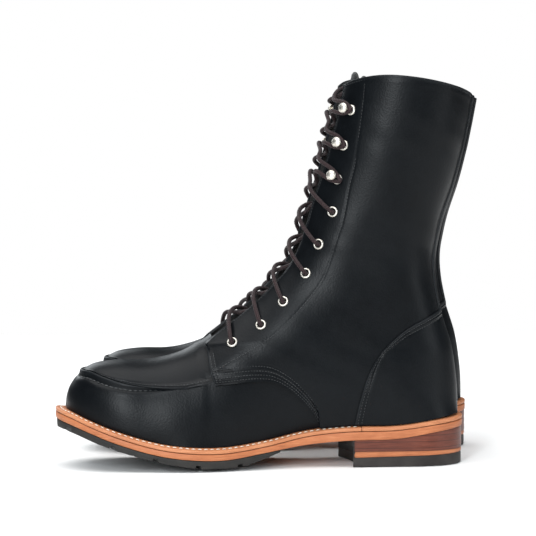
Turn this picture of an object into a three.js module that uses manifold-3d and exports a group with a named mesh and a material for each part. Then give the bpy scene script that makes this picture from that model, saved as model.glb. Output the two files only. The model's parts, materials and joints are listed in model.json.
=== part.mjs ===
// A pair of black moc-toe lace-up leather boots on a tan leather midsole, a lugged rubber
// forefoot and a stacked leather heel. Millimetres, +Z up, toes towards -X.
// Each boot is described in its own frame: x along the foot, z up from the ground and
// a side of -1 (lateral, little-toe side) or +1 (medial). The right boot mirrors the left.
import * as THREE from 'three';
import { ParametricGeometry } from 'three/addons/geometries/ParametricGeometry.js';
import { mergeVertices } from 'three/addons/utils/BufferGeometryUtils.js';
import Module from 'manifold-3d';

const wasm = await Module();
wasm.setup();

// ---------------------------------------------------------------- driving dimensions
const GAP = 0.3;                 // air left between two pieces that touch
const LEATHER = 2.0;             // upper leather
const LAP_GAP = 0.9;             // between two leathers that lap over a curved surface
const COUNTER_GAP = 1.2;         // between the quarter and the counter over it
const SOLE_GAP = 0.6;            // between two shaped sole layers
const BOOT_SPACING = 106;        // between the two centre planes
const RIGHT_BOOT_STAGGER = 22;   // right boot stands this much further back
const SOLE_LENGTH = 306;         // toe to heel, over the sole's edge
const SHAFT_TOP = 290;           // top of the collar above the ground
const WELT_THICK = 4;
const HEEL_LENGTH = 87;          // from the breast to the back of the sole
const RUBBER_LENGTH = 164;       // forefoot rubber, from the toe to where it tapers away
const TOP_LIFT_TOP = [6.8, 8.6]; // height of the rubber top lift at the breast and at the back
const TAN_LIFT_TOP = [11.4, 11.6];
const LUG_DEPTH = 3.6;
const LUG_PITCH = 15.6;
const LUG_FIRST = 9;             // first groove behind the toe
const LUG_GROOVES = 9;
const LUG_GROOVE_WIDTH = 3.6;
const FACING_HALF_GAP = 15.5;    // half the opening between the two lace facings
const TONGUE_HALF_WIDTH = 27;
const TONGUE_CLEAR = 0.55;       // from the tongue to the lace that crosses above it
const CREST_RADIUS = 35;         // the front of the shaft is about this round
const TONGUE_THICK = 2.2;
const EYELET_SIDES = 6;
const LACE_R = 1.6;
const LACE_SIDES = 8;
const EYELET_CLEAR = 0.9;        // from the lace to the eyelet round it
const EYELET_WALL = 0.4;
const EYELET_FLANGE = 1.1;       // the rim stands out past the barrel
const HOOK_BASE_R = 4.0;
const HOOK_HEAD_R = 3.85;
const HOOK_NECK_R = 1.5;
const HOOK_NECK_X = -3.8;        // the neck stands this far in front of the rivet
const HOOK_CLEAR = 1.2;          // spare room for the lace between the hook's base and head
const HOOK_WRAP = 0.9;           // from the hook's neck to the lace round it
const EYELET_HOLE_R = LACE_R + EYELET_CLEAR;
const EYELET_BARREL_R = EYELET_HOLE_R + EYELET_WALL;
const EYELET_FLANGE_R = EYELET_BARREL_R + EYELET_FLANGE;
const HOOK_ROOM = 2 * LACE_R + HOOK_CLEAR;
const BACKSTAY_HALF_WIDTH = 13;

// The patterns below are drawn for one length and height, and graded to the sizes above:
// along the foot everywhere, and upwards above the ankle.
const PATTERN_TOE = -159;
const PATTERN_HEEL = 147;
const PATTERN_ANKLE = 100;
const PATTERN_TOP = 290;
const lengthGrade = SOLE_LENGTH / (PATTERN_HEEL - PATTERN_TOE);
const shaftGrade = (SHAFT_TOP - PATTERN_ANKLE) / (PATTERN_TOP - PATTERN_ANKLE);
const gradedX = (x) => x * lengthGrade;
const gradedZ = (z) => (z > PATTERN_ANKLE ? PATTERN_ANKLE + (z - PATTERN_ANKLE) * shaftGrade : z);
const alongFoot = (points) => points.map(([x, value]) => [gradedX(x), value]);
const onSide = (points) => points.map(([x, z]) => [gradedX(x), gradedZ(z)]);
const TOE_X = gradedX(PATTERN_TOE);
const HEEL_X = gradedX(PATTERN_HEEL);
const BREAST_X = HEEL_X - HEEL_LENGTH;
const RUBBER_END_X = TOE_X + RUBBER_LENGTH;

// Height of the welt's top, of the tan midsole's underside and of the rubber's underside.
const RIM_Z = alongFoot([
  [-162, 46.5], [-148, 42], [-135, 36.5], [-121, 31], [-106, 26], [-92, 22], [-77, 19],
  [-55, 17], [-33, 17], [-4, 21], [26, 27], [55, 30], [92, 30.8], [122, 34.5], [150, 37.5],
]);
const MIDSOLE_BOTTOM_Z = alongFoot([
  [-162, 37.5], [-148, 33], [-135, 28], [-121, 22.5], [-106, 17.5], [-92, 13.5], [-77, 10.5],
  [-55, 8.3], [-33, 8.3], [-4, 12.5], [26, 17], [55, 19.5], [92, 20.5], [122, 25], [150, 28.5],
]);
const RUBBER_BOTTOM_Z = alongFoot([
  [-162, 31], [-146, 25.5], [-128, 18.2], [-106, 11.2], [-84, 5.4], [-63, 1.4],
  [-48, 0], [-30, 0], [-19, 2], [-9, 5.6], [10, 14],
]);
// Half widths of the sole's edge, lateral and medial, before the round toe and heel.
const SOLE_LATERAL = alongFoot([[-162, 44], [-98, 48.5], [-55, 52], [-10, 42], [25, 34], [60, 34.5], [150, 35.5]]);
const SOLE_MEDIAL = alongFoot([[-162, 43], [-98, 46.5], [-62, 48.5], [-10, 37], [25, 30], [60, 32.5], [150, 34.5]]);
// How far the sole's edge stands out past the feather line, where upper meets sole.
const EDGE_STAND = alongFoot([[-162, 8], [-60, 6.5], [0, 6.2], [40, 6], [70, 7], [150, 7]]);
const TOE_ROUND_FROM = gradedX(-98);
const HEEL_ROUND_FROM = gradedX(106);

// Section lines of the last, seen from the side: each runs from a point on the top line
// (CREST) to a point on the feather line (FEATHER_X) or, above it, on the back line (BACK).
const CREST = onSide([
  [-151.5, 46], [-150.5, 53], [-147.5, 61], [-141.5, 68.5], [-135, 73.8], [-127, 77], [-112, 78.6],
  [-93, 79], [-77, 81.5], [-62, 86.5], [-47.5, 95.5], [-29.5, 111], [-11.5, 125.5], [0.9, 138.7],
  [9, 150], [14.5, 159], [18.5, 168], [22, 178], [25, 188], [28.5, 199], [33, 211], [38, 225],
  [42, 238], [46, 252], [50.2, 266.4], [54, 281], [59, 300],
]);
const FEATHER_X = [
  -151.5, -150.5, -147.5, -141.5, -135, -127, -112, -93, -77, -62, -42, -12, 30, 72, 110, 131, 138.5,
].map(gradedX);
const BACK = onSide([
  [138.5, 36.5], [137.5, 60], [133.5, 87], [127, 112], [122.5, 135], [122, 156], [127.5, 183],
  [136.5, 211], [144, 241], [149.5, 268], [154.5, 297],
]);
const LAST_STATION = CREST.length - 1;
const CORNER_STATION = FEATHER_X.length - 1;
const FOREFOOT_STATION = 9;
// Half width of each section, and where along it the widest place lies.
const WIDTH_LATERAL = [
  46, 46, 46, 46, 46, 46, 46, 46, 46, 46, 44.5, 40.5, 37.5, 35.5, 34, 33.2, 32.7, 32.7, 33, 34,
  35, 36.5, 38.5, 41, 43.5, 45, 46.5,
];
const WIDTH_MEDIAL = [
  43, 43, 43, 43, 43, 43, 43, 43, 43, 43, 41.5, 38.5, 36.2, 34.5, 33, 32.2, 31.7, 31.7, 32, 33,
  34, 35.5, 37.5, 40, 42.5, 44, 45.5,
];
const WIDEST_AT = [
  0.9, 0.9, 0.9, 0.9, 0.9, 0.9, 0.9, 0.88, 0.85, 0.8, 0.7, 0.56, 0.46, 0.38, 0.33, 0.31, 0.3,
  0.31, 0.33, 0.37, 0.41, 0.45, 0.48, 0.5, 0.5, 0.5, 0.5,
];
const CREST_SQUARE = [
  2.3, 2.3, 2.3, 2.35, 2.4, 2.4, 2.35, 2.2, 2.1, 2.0, 2.0, 2.0, 2.0, 2.0, 2.0, 2.0, 2.0,
  2.0, 2.0, 2.0, 2.0, 2.0, 2.0, 2.05, 2.1, 2.1, 2.1,
];
const BACK_SQUARE = [
  2, 2, 2, 2, 2, 2, 2, 2, 2, 2, 2, 2.1, 2.2, 2.3, 2.4, 2.45, 2.45, 2.45, 2.4, 2.3, 2.2, 2.1,
  2, 2.05, 2.1, 2.1, 2.1,
];
// Seams, seen from the side.
const MOC_SEAM = onSide([
  [-138.5, 71.3], [-132, 70.6], [-125, 68], [-116, 65], [-105, 62.2], [-92, 60], [-78, 59.2],
  [-62, 60], [-46, 63.5], [-36, 67],
]);
const QUARTER_FRONT = onSide([[-43, 62], [-46.5, 74], [-47, 88], [-45.5, 95]]);
const QUARTER_LOWER = onSide([[-43, 62], [-29, 63.5], [-14, 65], [0, 64], [12, 58], [23, 48.5], [31, 39], [36, 28.5]]);
const VAMP_REAR = onSide([[-36, 67], [-10, 76], [14, 71], [33, 58], [48, 30]]);
const COLLAR = onSide([
  [56.5, 283], [63, 286.6], [75, 289.4], [88, 290], [104, 288.6], [120, 286], [137, 282], [151.5, 277],
]);
const COUNTER_TOP = onSide([[80.5, 85], [88, 92.5], [99, 101.5], [112, 108.5], [126.6, 115]]);
const COUNTER_FRONT = onSide([[61, 31], [64, 47], [69, 64], [74, 75], [80.5, 85]]);
const EYELET_PLACES = onSide([[-29, 92], [-8, 105], [9, 122], [26, 143], [36, 165], [46, 189]]);
const HOOK_PLACES = onSide([[50, 213], [55, 238], [60.5, 264]]);

// ---------------------------------------------------------------- curves
// A smooth function through [x, value] points: cubic pieces with averaged slopes.
function smoothFunction(points) {
  const slope = points.map((p, i) => {
    const a = points[Math.max(i - 1, 0)];
    const b = points[Math.min(i + 1, points.length - 1)];
    return (b[1] - a[1]) / (b[0] - a[0]);
  });
  return (x) => {
    let i = 0;
    while (i < points.length - 2 && x > points[i + 1][0]) i += 1;
    const width = points[i + 1][0] - points[i][0];
    const u = THREE.MathUtils.clamp((x - points[i][0]) / width, 0, 1);
    const u2 = u * u;
    const u3 = u2 * u;
    return points[i][1] * (2 * u3 - 3 * u2 + 1) + points[i + 1][1] * (3 * u2 - 2 * u3)
      + slope[i] * width * (u3 - 2 * u2 + u) + slope[i + 1] * width * (u3 - u2);
  };
}

function numbered(values) {
  return smoothFunction(values.map((v, i) => [i, v]));
}

// A path through [x, z] points, read at a fraction of its length.
function path(points) {
  const curve = new THREE.SplineCurve(points.map((p) => new THREE.Vector2(p[0], p[1])));
  curve.arcLengthDivisions = 100;
  return (u) => curve.getPointAt(THREE.MathUtils.clamp(u, 0, 1));
}

const rimZ = smoothFunction(RIM_Z);
const midsoleBottomZ = smoothFunction(MIDSOLE_BOTTOM_Z);
const rubberProfile = smoothFunction(RUBBER_BOTTOM_Z);
const rubberBottomZ = (x) => Math.max(0, rubberProfile(x));
const soleLateral = smoothFunction(SOLE_LATERAL);
const soleMedial = smoothFunction(SOLE_MEDIAL);
const edgeStand = smoothFunction(EDGE_STAND);

// Half width of the outline that lies `inset` inside the sole's edge, at length x.
function outline(x, side, inset) {
  const straight = (side < 0 ? soleLateral(x) : soleMedial(x)) - inset;
  const front = TOE_X + inset;
  const back = HEEL_X - inset;
  let round = 1;
  if (x < TOE_ROUND_FROM) {
    const s = Math.min(1, (TOE_ROUND_FROM - x) / (TOE_ROUND_FROM - front));
    round = (1 - s ** 2.3) ** (1 / 2.3);
  }
  if (x > HEEL_ROUND_FROM) {
    const s = Math.min(1, (x - HEEL_ROUND_FROM) / (back - HEEL_ROUND_FROM));
    round = (1 - s ** 2.2) ** (1 / 2.2);
  }
  return straight * round;
}

// ---------------------------------------------------------------- the last's surface
const crestX = numbered(CREST.map((p) => p[0]));
const crestZ = numbered(CREST.map((p) => p[1]));
const featherX = numbered(FEATHER_X);
const backX = numbered(BACK.map((p) => p[0]));
const backZ = numbered(BACK.map((p) => p[1]));
const widthLateral = numbered(WIDTH_LATERAL);
const widthMedial = numbered(WIDTH_MEDIAL);
const widestAt = numbered(WIDEST_AT);
const crestSquare = numbered(CREST_SQUARE);
const backSquare = numbered(BACK_SQUARE);

// The section line at station t: its top point, then its bottom or back point.
function sectionLine(t) {
  const top = new THREE.Vector2(crestX(t), crestZ(t));
  if (t <= CORNER_STATION) {
    const x = featherX(t);
    return [top, new THREE.Vector2(x, rimZ(x) - 1)];
  }
  return [top, new THREE.Vector2(backX(t - CORNER_STATION), backZ(t - CORNER_STATION))];
}

function signedPower(v, p) {
  return Math.sign(v) * Math.abs(v) ** p;
}

// Square of the half width at fraction f down the section line at station t.
function widthSquared(t, f, side) {
  const [top, low] = sectionLine(t);
  let width = side < 0 ? widthLateral(t) : widthMedial(t);
  let base = 0;
  if (t <= CORNER_STATION) {
    const feather = outline(low.x, side, edgeStand(low.x));
    if (t <= FOREFOOT_STATION) width = feather * 1.03;
    base = Math.min(1, feather / Math.max(width, 1e-6));
  }
  const widest = widestAt(t);
  if (f < widest) {
    const n = crestSquare(t);
    const rest = 1 - f / widest;
    return width * width * signedPower(1 - rest ** n, 2 / n);
  }
  const m = backSquare(t);
  const g = (f - widest) / (1 - widest);
  return width * width * signedPower(1 - (1 - base ** m) * g ** m, 2 / m);
}

// The station and the fraction of the section line that passes through (x, z).
function locate(x, z) {
  let low = 0;
  let high = LAST_STATION;
  for (let i = 0; i < 34; i += 1) {
    const t = (low + high) / 2;
    const [c, b] = sectionLine(t);
    const cross = (x - c.x) * (b.y - c.y) - (z - c.y) * (b.x - c.x);
    if (cross < 0) low = t;
    else high = t;
  }
  const t = (low + high) / 2;
  const [c, b] = sectionLine(t);
  const length2 = (b.x - c.x) ** 2 + (b.y - c.y) ** 2;
  return [t, ((x - c.x) * (b.x - c.x) + (z - c.y) * (b.y - c.y)) / length2];
}

function sideSquared(x, z, side) {
  const [t, f] = locate(x, z);
  return widthSquared(t, f, side);
}

// A point of the last's surface at (x, z), moved out along the normal by `lift`.
function skin(x, z, side, lift) {
  const h = 0.4;
  const here = Math.max(sideSquared(x, z, side), 0);
  const gx = (sideSquared(x + h, z, side) - sideSquared(x - h, z, side)) / (2 * h);
  const gz = (sideSquared(x, z + h, side) - sideSquared(x, z - h, side)) / (2 * h);
  const y = Math.sqrt(here);
  const normal = new THREE.Vector3(-gx, 2 * y, -gz).normalize();
  const low = rimZ(x) + SOLE_GAP + 0.4;
  return new THREE.Vector3(
    x + normal.x * lift,
    side * (y + normal.y * lift),
    Math.max(z + normal.z * lift, low),
  );
}

// The same surface addressed by station t and distance y from the centre plane.
function overTop(t, y, lift) {
  const side = y < 0 ? -1 : 1;
  const width = side < 0 ? widthLateral(t) : widthMedial(t);
  const n = crestSquare(t);
  const across = Math.min(Math.abs(y) / width, 0.999);
  const f = widestAt(t) * (1 - (1 - across ** n) ** (1 / n));
  const [c, b] = sectionLine(t);
  const x = c.x + (b.x - c.x) * f;
  const z = c.y + (b.y - c.y) * f;
  const h = 0.4;
  const gx = (sideSquared(x + h, z, side) - sideSquared(x - h, z, side)) / (2 * h);
  const gz = (sideSquared(x, z + h, side) - sideSquared(x, z - h, side)) / (2 * h);
  const normal = new THREE.Vector3(-gx, 2 * Math.abs(y) * side, -gz).normalize();
  return new THREE.Vector3(x, y, z).addScaledVector(normal, lift);
}

// ---------------------------------------------------------------- solids
function tidyGeometry(geometry) {
  geometry.deleteAttribute('normal');
  geometry.deleteAttribute('uv');
  const merged = mergeVertices(geometry, 1e-4);
  const kept = [];
  const index = merged.index.array;
  for (let i = 0; i < index.length; i += 3) {
    const [a, b, c] = [index[i], index[i + 1], index[i + 2]];
    if (a !== b && b !== c && c !== a) kept.push(a, b, c);
  }
  merged.setIndex(kept);
  return merged;
}

// A closed shell between two faces of a patch. outer(i, j) and inner(i, j) give the points
// of the two faces for rows 0..rows and columns 0..columns.
function shell(rows, columns, outer, inner, flip = false) {
  const around = 2 * columns + 2;
  const pointAt = (u, v, target) => {
    const turn = Math.round(u * around) % around;
    const stack = Math.round(v * (rows + 2));
    const i = THREE.MathUtils.clamp(stack - 1, 0, rows);
    const j = turn <= columns ? turn : 2 * columns + 1 - turn;
    if (stack === 0 || stack === rows + 2) {
      target.copy(outer(i, j)).add(inner(i, j)).multiplyScalar(0.5);
    } else {
      target.copy(turn <= columns ? outer(i, j) : inner(i, j));
    }
  };
  const geometry = tidyGeometry(new ParametricGeometry(pointAt, around, rows + 2));
  return flip ? turnedOver(geometry) : geometry;
}

function turnedOver(geometry) {
  const index = Array.from(geometry.index.array);
  for (let i = 0; i < index.length; i += 3) [index[i], index[i + 1]] = [index[i + 1], index[i]];
  geometry.setIndex(index);
  return geometry;
}

function volumeOf(geometry) {
  const p = geometry.attributes.position;
  const index = geometry.index.array;
  const [a, b, c] = [new THREE.Vector3(), new THREE.Vector3(), new THREE.Vector3()];
  let total = 0;
  for (let i = 0; i < index.length; i += 3) {
    a.fromBufferAttribute(p, index[i]);
    b.fromBufferAttribute(p, index[i + 1]);
    c.fromBufferAttribute(p, index[i + 2]);
    total += a.dot(b.cross(c)) / 6;
  }
  return total;
}

function outward(geometry) {
  return volumeOf(geometry) < 0 ? turnedOver(geometry) : geometry;
}

function toSolid(geometry) {
  const clean = outward(geometry.index ? geometry : tidyGeometry(geometry));
  return new wasm.Manifold(new wasm.Mesh({
    numProp: 3,
    vertProperties: new Float32Array(clean.attributes.position.array),
    triVerts: new Uint32Array(clean.index.array),
  }));
}

function fromSolid(solid) {
  const mesh = solid.getMesh();
  const geometry = new THREE.BufferGeometry();
  geometry.setAttribute('position', new THREE.BufferAttribute(new Float32Array(mesh.vertProperties), 3));
  geometry.setIndex(Array.from(mesh.triVerts));
  return geometry;
}

function plain(geometry, matrix) {
  const tidy = tidyGeometry(geometry);
  if (matrix) tidy.applyMatrix4(matrix);
  return toSolid(tidy);
}

// Rounded ends: 0 to 1 with the steps bunched up where the flags say.
function bunched(u, start, end) {
  if (start && end) return (1 - Math.cos(Math.PI * u)) / 2;
  if (start) return 1 - Math.cos((Math.PI * u) / 2);
  if (end) return Math.sin((Math.PI * u) / 2);
  return u;
}

// A four-sided patch seen from the side: bottom and top run from front to back,
// front and back run from bottom to top.
function fourSided(bottom, top, front, back) {
  return (u, v) => {
    const b = bottom(u);
    const t = top(u);
    const l = front(v);
    const r = back(v);
    const c00 = bottom(0);
    const c10 = bottom(1);
    const c01 = top(0);
    const c11 = top(1);
    const x = (1 - v) * b.x + v * t.x + (1 - u) * l.x + u * r.x
      - ((1 - u) * (1 - v) * c00.x + u * (1 - v) * c10.x + (1 - u) * v * c01.x + u * v * c11.x);
    const z = (1 - v) * b.y + v * t.y + (1 - u) * l.y + u * r.y
      - ((1 - u) * (1 - v) * c00.y + u * (1 - v) * c10.y + (1 - u) * v * c01.y + u * v * c11.y);
    return new THREE.Vector2(x, z);
  };
}

function featherPoint(x) {
  return new THREE.Vector2(x, rimZ(x) + SOLE_GAP);
}

const UPPER_FRONT = featherX(0);
const UPPER_BACK = featherX(CORNER_STATION);

// The nose of the last, from the feather line up to the apron seam, on the centre plane.
const noseEnd = MOC_SEAM[0];
function nosePoint(v) {
  const z = THREE.MathUtils.lerp(rimZ(UPPER_FRONT) + SOLE_GAP, noseEnd[1], v);
  let low = 0;
  let high = 5;
  for (let i = 0; i < 30; i += 1) {
    const t = (low + high) / 2;
    if (crestZ(t) < z) low = t;
    else high = t;
  }
  return new THREE.Vector2(crestX(low), z);
}

function backPoint(z) {
  let low = 0;
  let high = BACK.length - 1;
  for (let i = 0; i < 30; i += 1) {
    const s = (low + high) / 2;
    if (backZ(s) < z) low = s;
    else high = s;
  }
  return new THREE.Vector2(backX(low), z);
}

// Both sides of a patch in one grid: negative rows lateral, positive rows medial.
function bothSides(rows, patch, columns, start, lift) {
  return (i, j) => {
    const s = (i - rows) / rows;
    const side = s < 0 ? -1 : 1;
    const p = patch(bunched(Math.abs(s), start, false), j / columns);
    const point = skin(p.x, p.y, side, lift(Math.abs(s), j));
    if (i === rows) point.y = 0;
    return point;
  };
}

function vampSolid() {
  const seam = path(MOC_SEAM);
  const rear = path([...VAMP_REAR].reverse());
  const lastX = VAMP_REAR[VAMP_REAR.length - 1][0];
  const patch = fourSided(
    (u) => featherPoint(THREE.MathUtils.lerp(UPPER_FRONT, lastX, u)),
    seam,
    nosePoint,
    rear,
  );
  const rows = 9;
  const columns = 6;
  const stop = [0, 0.3, 0.6, 0.82, 0.92, 0.97, 1];
  const place = (u, v) => patch(u, stop[Math.round(v * columns)]);
  const bead = (s, j) => (s < 0.75 ? [0, 0, 0, 0, 1.4, 2.4, 1.8][j] : -0.7);
  const outer = bothSides(rows, place, columns, true, bead);
  const inner = bothSides(rows, place, columns, true, () => -LEATHER);
  return shell(2 * rows, columns, outer, inner);
}

function apronSolid() {
  const seam = path(MOC_SEAM);
  const rows = 9;
  const half = 3;
  const grid = (lift) => (i, j) => {
    const u = bunched(i / rows, true, false);
    const s = (j - half) / half;
    const side = s < 0 ? -1 : 1;
    const edge = seam(THREE.MathUtils.lerp(0.025, 1, u));
    const top = THREE.MathUtils.lerp(3.5, 10.2, u);
    const crest = new THREE.Vector2(crestX(top), crestZ(top));
    const down = bunched(Math.abs(s), true, false);
    const x = THREE.MathUtils.lerp(crest.x, edge.x, down);
    const z = THREE.MathUtils.lerp(crest.y, edge.y + 1.7, down);
    const sunk = THREE.MathUtils.smoothstep(u, 0.6, 0.85) * 1.3;
    const point = skin(x, z, side, lift - sunk);
    if (j === half) point.y = 0;
    return point;
  };
  return shell(rows, 2 * half, grid(0), grid(-LEATHER));
}

// The facing edge from the throat to the collar, as a station for each fraction.
const THROAT_STATION = 10.1;
const FACING_TOP_STATION = 24.6;
function facingPoint(u) {
  const t = THREE.MathUtils.lerp(THROAT_STATION, FACING_TOP_STATION, u);
  const p = overTop(t, FACING_HALF_GAP, 0);
  return new THREE.Vector2(p.x, p.z);
}

function quarterSolid(side) {
  const lower = path(QUARTER_LOWER);
  const last = QUARTER_LOWER[QUARTER_LOWER.length - 1];
  const bottom = (u) => {
    if (u < 0.5) return lower(u / 0.5);
    const x = THREE.MathUtils.lerp(last[0], UPPER_BACK, bunched((u - 0.5) / 0.5, false, true));
    return featherPoint(x);
  };
  const frontEdge = QUARTER_FRONT.slice(0, -1);
  const facing = [0, 0.12, 0.25, 0.38, 0.5, 0.62, 0.75, 0.88, 1].map(facingPoint);
  const front = path([...frontEdge, ...facing.map((p) => [p.x, p.y]), COLLAR[0]]);
  const top = path(COLLAR);
  const endZ = COLLAR[COLLAR.length - 1][1];
  const back = (v) => backPoint(THREE.MathUtils.lerp(rimZ(UPPER_BACK) + SOLE_GAP, endZ, v));
  const topRight = backPoint(endZ);
  const patch = fourSided(
    bottom,
    (u) => {
      const p = top(u);
      return new THREE.Vector2(p.x + (topRight.x - COLLAR[COLLAR.length - 1][0]) * u, p.y);
    },
    front,
    back,
  );
  const rows = 11;
  const columns = 12;
  const grid = (lift) => (i, j) => {
    const u = i / rows;
    const p = patch(u < 0.5 ? u : 0.5 + 0.5 * bunched((u - 0.5) * 2, false, true), j / columns);
    const point = skin(p.x, p.y, side, lift);
    point.y = side * Math.max(side * point.y, GAP / 2);
    return point;
  };
  let solid = toSolid(shell(rows, columns, grid(LAP_GAP + LEATHER), grid(LAP_GAP)));
  for (const place of EYELET_PLACES) {
    solid = solid.subtract(plain(post(EYELET_BARREL_R + GAP, -3, 6), facingFrame(place, side)));
  }
  return fromSolid(solid);
}

// A frame on the facing at a place: local +Z points out of the leather, +X down the section
// line away from the opening, +Y towards the collar.
function facingFrame(place, side) {
  const at = skin(place[0], place[1], side, 0);
  const above = skin(place[0], place[1], side, 1);
  const out = above.sub(at).normalize();
  const [t] = locate(place[0], place[1]);
  const [c, b] = sectionLine(t);
  const away = new THREE.Vector3(b.x - c.x, 0, b.y - c.y).normalize();
  away.addScaledVector(out, -away.dot(out)).normalize();
  const up = new THREE.Vector3().crossVectors(out, away);
  return new THREE.Matrix4().makeBasis(away, up, out).setPosition(at);
}

function post(radius, low, high, sides = EYELET_SIDES) {
  const geometry = new THREE.CylinderGeometry(radius, radius, high - low, sides);
  return geometry.rotateX(Math.PI / 2).translate(0, 0, (low + high) / 2);
}

const STAY_INNER = -0.8;
const STAY_OUTER = -0.3;
const EYELET_FACE_GAP = 0.5;       // the flange's underside over the leather
const BARREL_END = STAY_INNER - 0.8;
const LACE_UNDER = BARREL_END - GAP - LACE_R;            // lace centre under the facing

function eyeletRow(side) {
  const at = EYELET_PLACES.map((p) => locate(...p)[0]);
  const stations = at.flatMap((t, k) => (k ? [(t + at[k - 1]) / 2, t] : [t - 0.45, t]));
  stations.push(at[at.length - 1] + 0.6);
  const rows = stations.length - 1;
  const strip = (lift) => (i, j) => {
    const t = stations[i];
    return overTop(t, side * THREE.MathUtils.lerp(FACING_HALF_GAP + 3, FACING_HALF_GAP + 13, j), lift);
  };
  let solid = toSolid(shell(rows, 1, strip(STAY_OUTER), strip(STAY_INNER)));
  const face = LAP_GAP + LEATHER + EYELET_FACE_GAP;
  const profile = [
    [EYELET_HOLE_R, BARREL_END], [EYELET_BARREL_R, BARREL_END],
    [EYELET_BARREL_R, face], [EYELET_FLANGE_R, face], [EYELET_HOLE_R, face + 0.8],
    [EYELET_HOLE_R, BARREL_END],
  ].map((p) => new THREE.Vector2(p[0], p[1]));
  for (const place of EYELET_PLACES) {
    const frame = facingFrame(place, side);
    solid = solid.subtract(plain(post(EYELET_BARREL_R - 0.2, -3, 4), frame));
    const ring = new THREE.LatheGeometry(profile, EYELET_SIDES).rotateX(Math.PI / 2);
    solid = solid.add(plain(ring, frame));
  }
  return fromSolid(solid);
}

function hookSolid(place, side) {
  const frame = facingFrame(place, side);
  const face = LAP_GAP + LEATHER + 0.3;
  const top = face + 0.7;
  let solid = plain(post(HOOK_BASE_R, face, top, 8), frame);
  const bar = new THREE.BoxGeometry(5.6, 3, 0.6).translate(HOOK_NECK_X / 2 - 0.2, 0, top - 0.35);
  solid = solid.add(plain(bar, frame));
  solid = solid.add(plain(post(HOOK_NECK_R, top - 0.5, top + HOOK_ROOM + 0.4, 6).translate(HOOK_NECK_X, 0, 0), frame));
  const dome = [
    [0, 0], [HOOK_HEAD_R, 0.1], [HOOK_HEAD_R, 0.7], [0, 2.1],
  ].map((p) => new THREE.Vector2(p[0], p[1]));
  const head = new THREE.LatheGeometry(dome, 8).rotateX(Math.PI / 2).translate(HOOK_NECK_X + 0.6, 0, top + HOOK_ROOM);
  return fromSolid(solid.add(plain(head, frame)));
}

function counterSolid() {
  const topLine = path(COUNTER_TOP);
  const frontLine = path(COUNTER_FRONT);
  const topEnd = COUNTER_TOP[COUNTER_TOP.length - 1];
  const patch = fourSided(
    (u) => featherPoint(THREE.MathUtils.lerp(UPPER_BACK, COUNTER_FRONT[0][0], u)),
    (u) => {
      const p = topLine(1 - u);
      const shift = backPoint(topEnd[1]).x - topEnd[0];
      return new THREE.Vector2(p.x + shift * (1 - u), p.y);
    },
    (v) => backPoint(THREE.MathUtils.lerp(rimZ(UPPER_BACK) + SOLE_GAP, topEnd[1], v)),
    frontLine,
  );
  const rows = 14;
  const columns = 6;
  const level = LAP_GAP + LEATHER + COUNTER_GAP;
  const outer = bothSides(rows, patch, columns, true, () => level + LEATHER);
  const inner = bothSides(rows, patch, columns, true, () => level);
  return shell(2 * rows, columns, outer, inner);
}

function backstaySolid() {
  const rows = 7;
  const half = 2;
  const lowZ = COUNTER_TOP[COUNTER_TOP.length - 1][1] + 1.6;
  const highZ = COLLAR[COLLAR.length - 1][1] - 0.5;
  const level = 2 * LAP_GAP + LEATHER + GAP;
  const grid = (lift) => (i, j) => {
    const z = THREE.MathUtils.lerp(lowZ, highZ, i / rows);
    const s = (j - half) / half;
    const side = s < 0 ? -1 : 1;
    const reach = THREE.MathUtils.lerp(0.75, 1, i / rows) * BACKSTAY_HALF_WIDTH * Math.abs(s);
    let inward = 0;
    for (let k = 0; k < 12; k += 1) {
      const g = sideSquared(backPoint(z).x - inward, z, side);
      inward += (reach * reach - g) / 80;
    }
    const point = skin(backPoint(z).x - inward, z, side, lift);
    if (j === half) point.y = 0;
    return point;
  };
  return shell(rows, 2 * half, grid(level + LEATHER * 0.7), grid(level));
}

function tongueSolid() {
  const rows = 11;
  const half = 3;
  const grid = (lift) => (i, j) => {
    const t = THREE.MathUtils.lerp(9.3, 25.75, i / rows);
    const narrow = Math.min(1, 0.55 + i / 6, 0.8 + (rows - i) / 6);
    return overTop(t, ((j - half) / half) * TONGUE_HALF_WIDTH * narrow, lift);
  };
  const laceSag = (FACING_HALF_GAP - 1) ** 2 / (8 * CREST_RADIUS);
  const face = LACE_UNDER - LACE_R - laceSag - TONGUE_CLEAR;
  return shell(rows, 2 * half, grid(face), grid(face - TONGUE_THICK));
}

// ---------------------------------------------------------------- sole
// The rounded ends stop this short, so that the last slice keeps a little width.
const TIP = 0.12;

// A flat layer whose outline lies `inset` inside the sole's edge, from one x to another.
function layer(rows, columns, fromX, toX, inset, topZ, bottomZ, roundStart, roundEnd, breast = 0) {
  const grid = (level) => (i, j) => {
    let x = THREE.MathUtils.lerp(fromX + TIP * roundStart, toX - TIP * roundEnd, bunched(i / rows, roundStart, roundEnd));
    const s = (2 * j) / columns - 1;
    const side = s < 0 ? -1 : 1;
    const y = side * Math.abs(s) * Math.max(outline(x, side, inset), 0);
    const hollow = (1 - s * s) * breast - (s > 0 ? s * breast * 0.6 : 0);
    x += hollow * (1 - i / rows) ** 2;
    return new THREE.Vector3(x, y, level(x, s));
  };
  return shell(rows, columns, grid(topZ), grid(bottomZ), true);
}

// A flat ring between two insets, following the outline from one breast round to the other.
function ring(rows, insets, xOf, topZ, bottomZ) {
  const columns = insets.length - 1;
  const grid = (level) => (i, j) => {
    const s = (i - rows) / rows;
    const side = s < 0 ? -1 : 1;
    const inset = insets[j];
    const x = xOf(Math.abs(s), inset);
    const y = i === rows ? 0 : side * outline(x, side, inset);
    return new THREE.Vector3(x, y, level(x));
  };
  return shell(2 * rows, columns, grid(topZ), grid(bottomZ));
}

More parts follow.
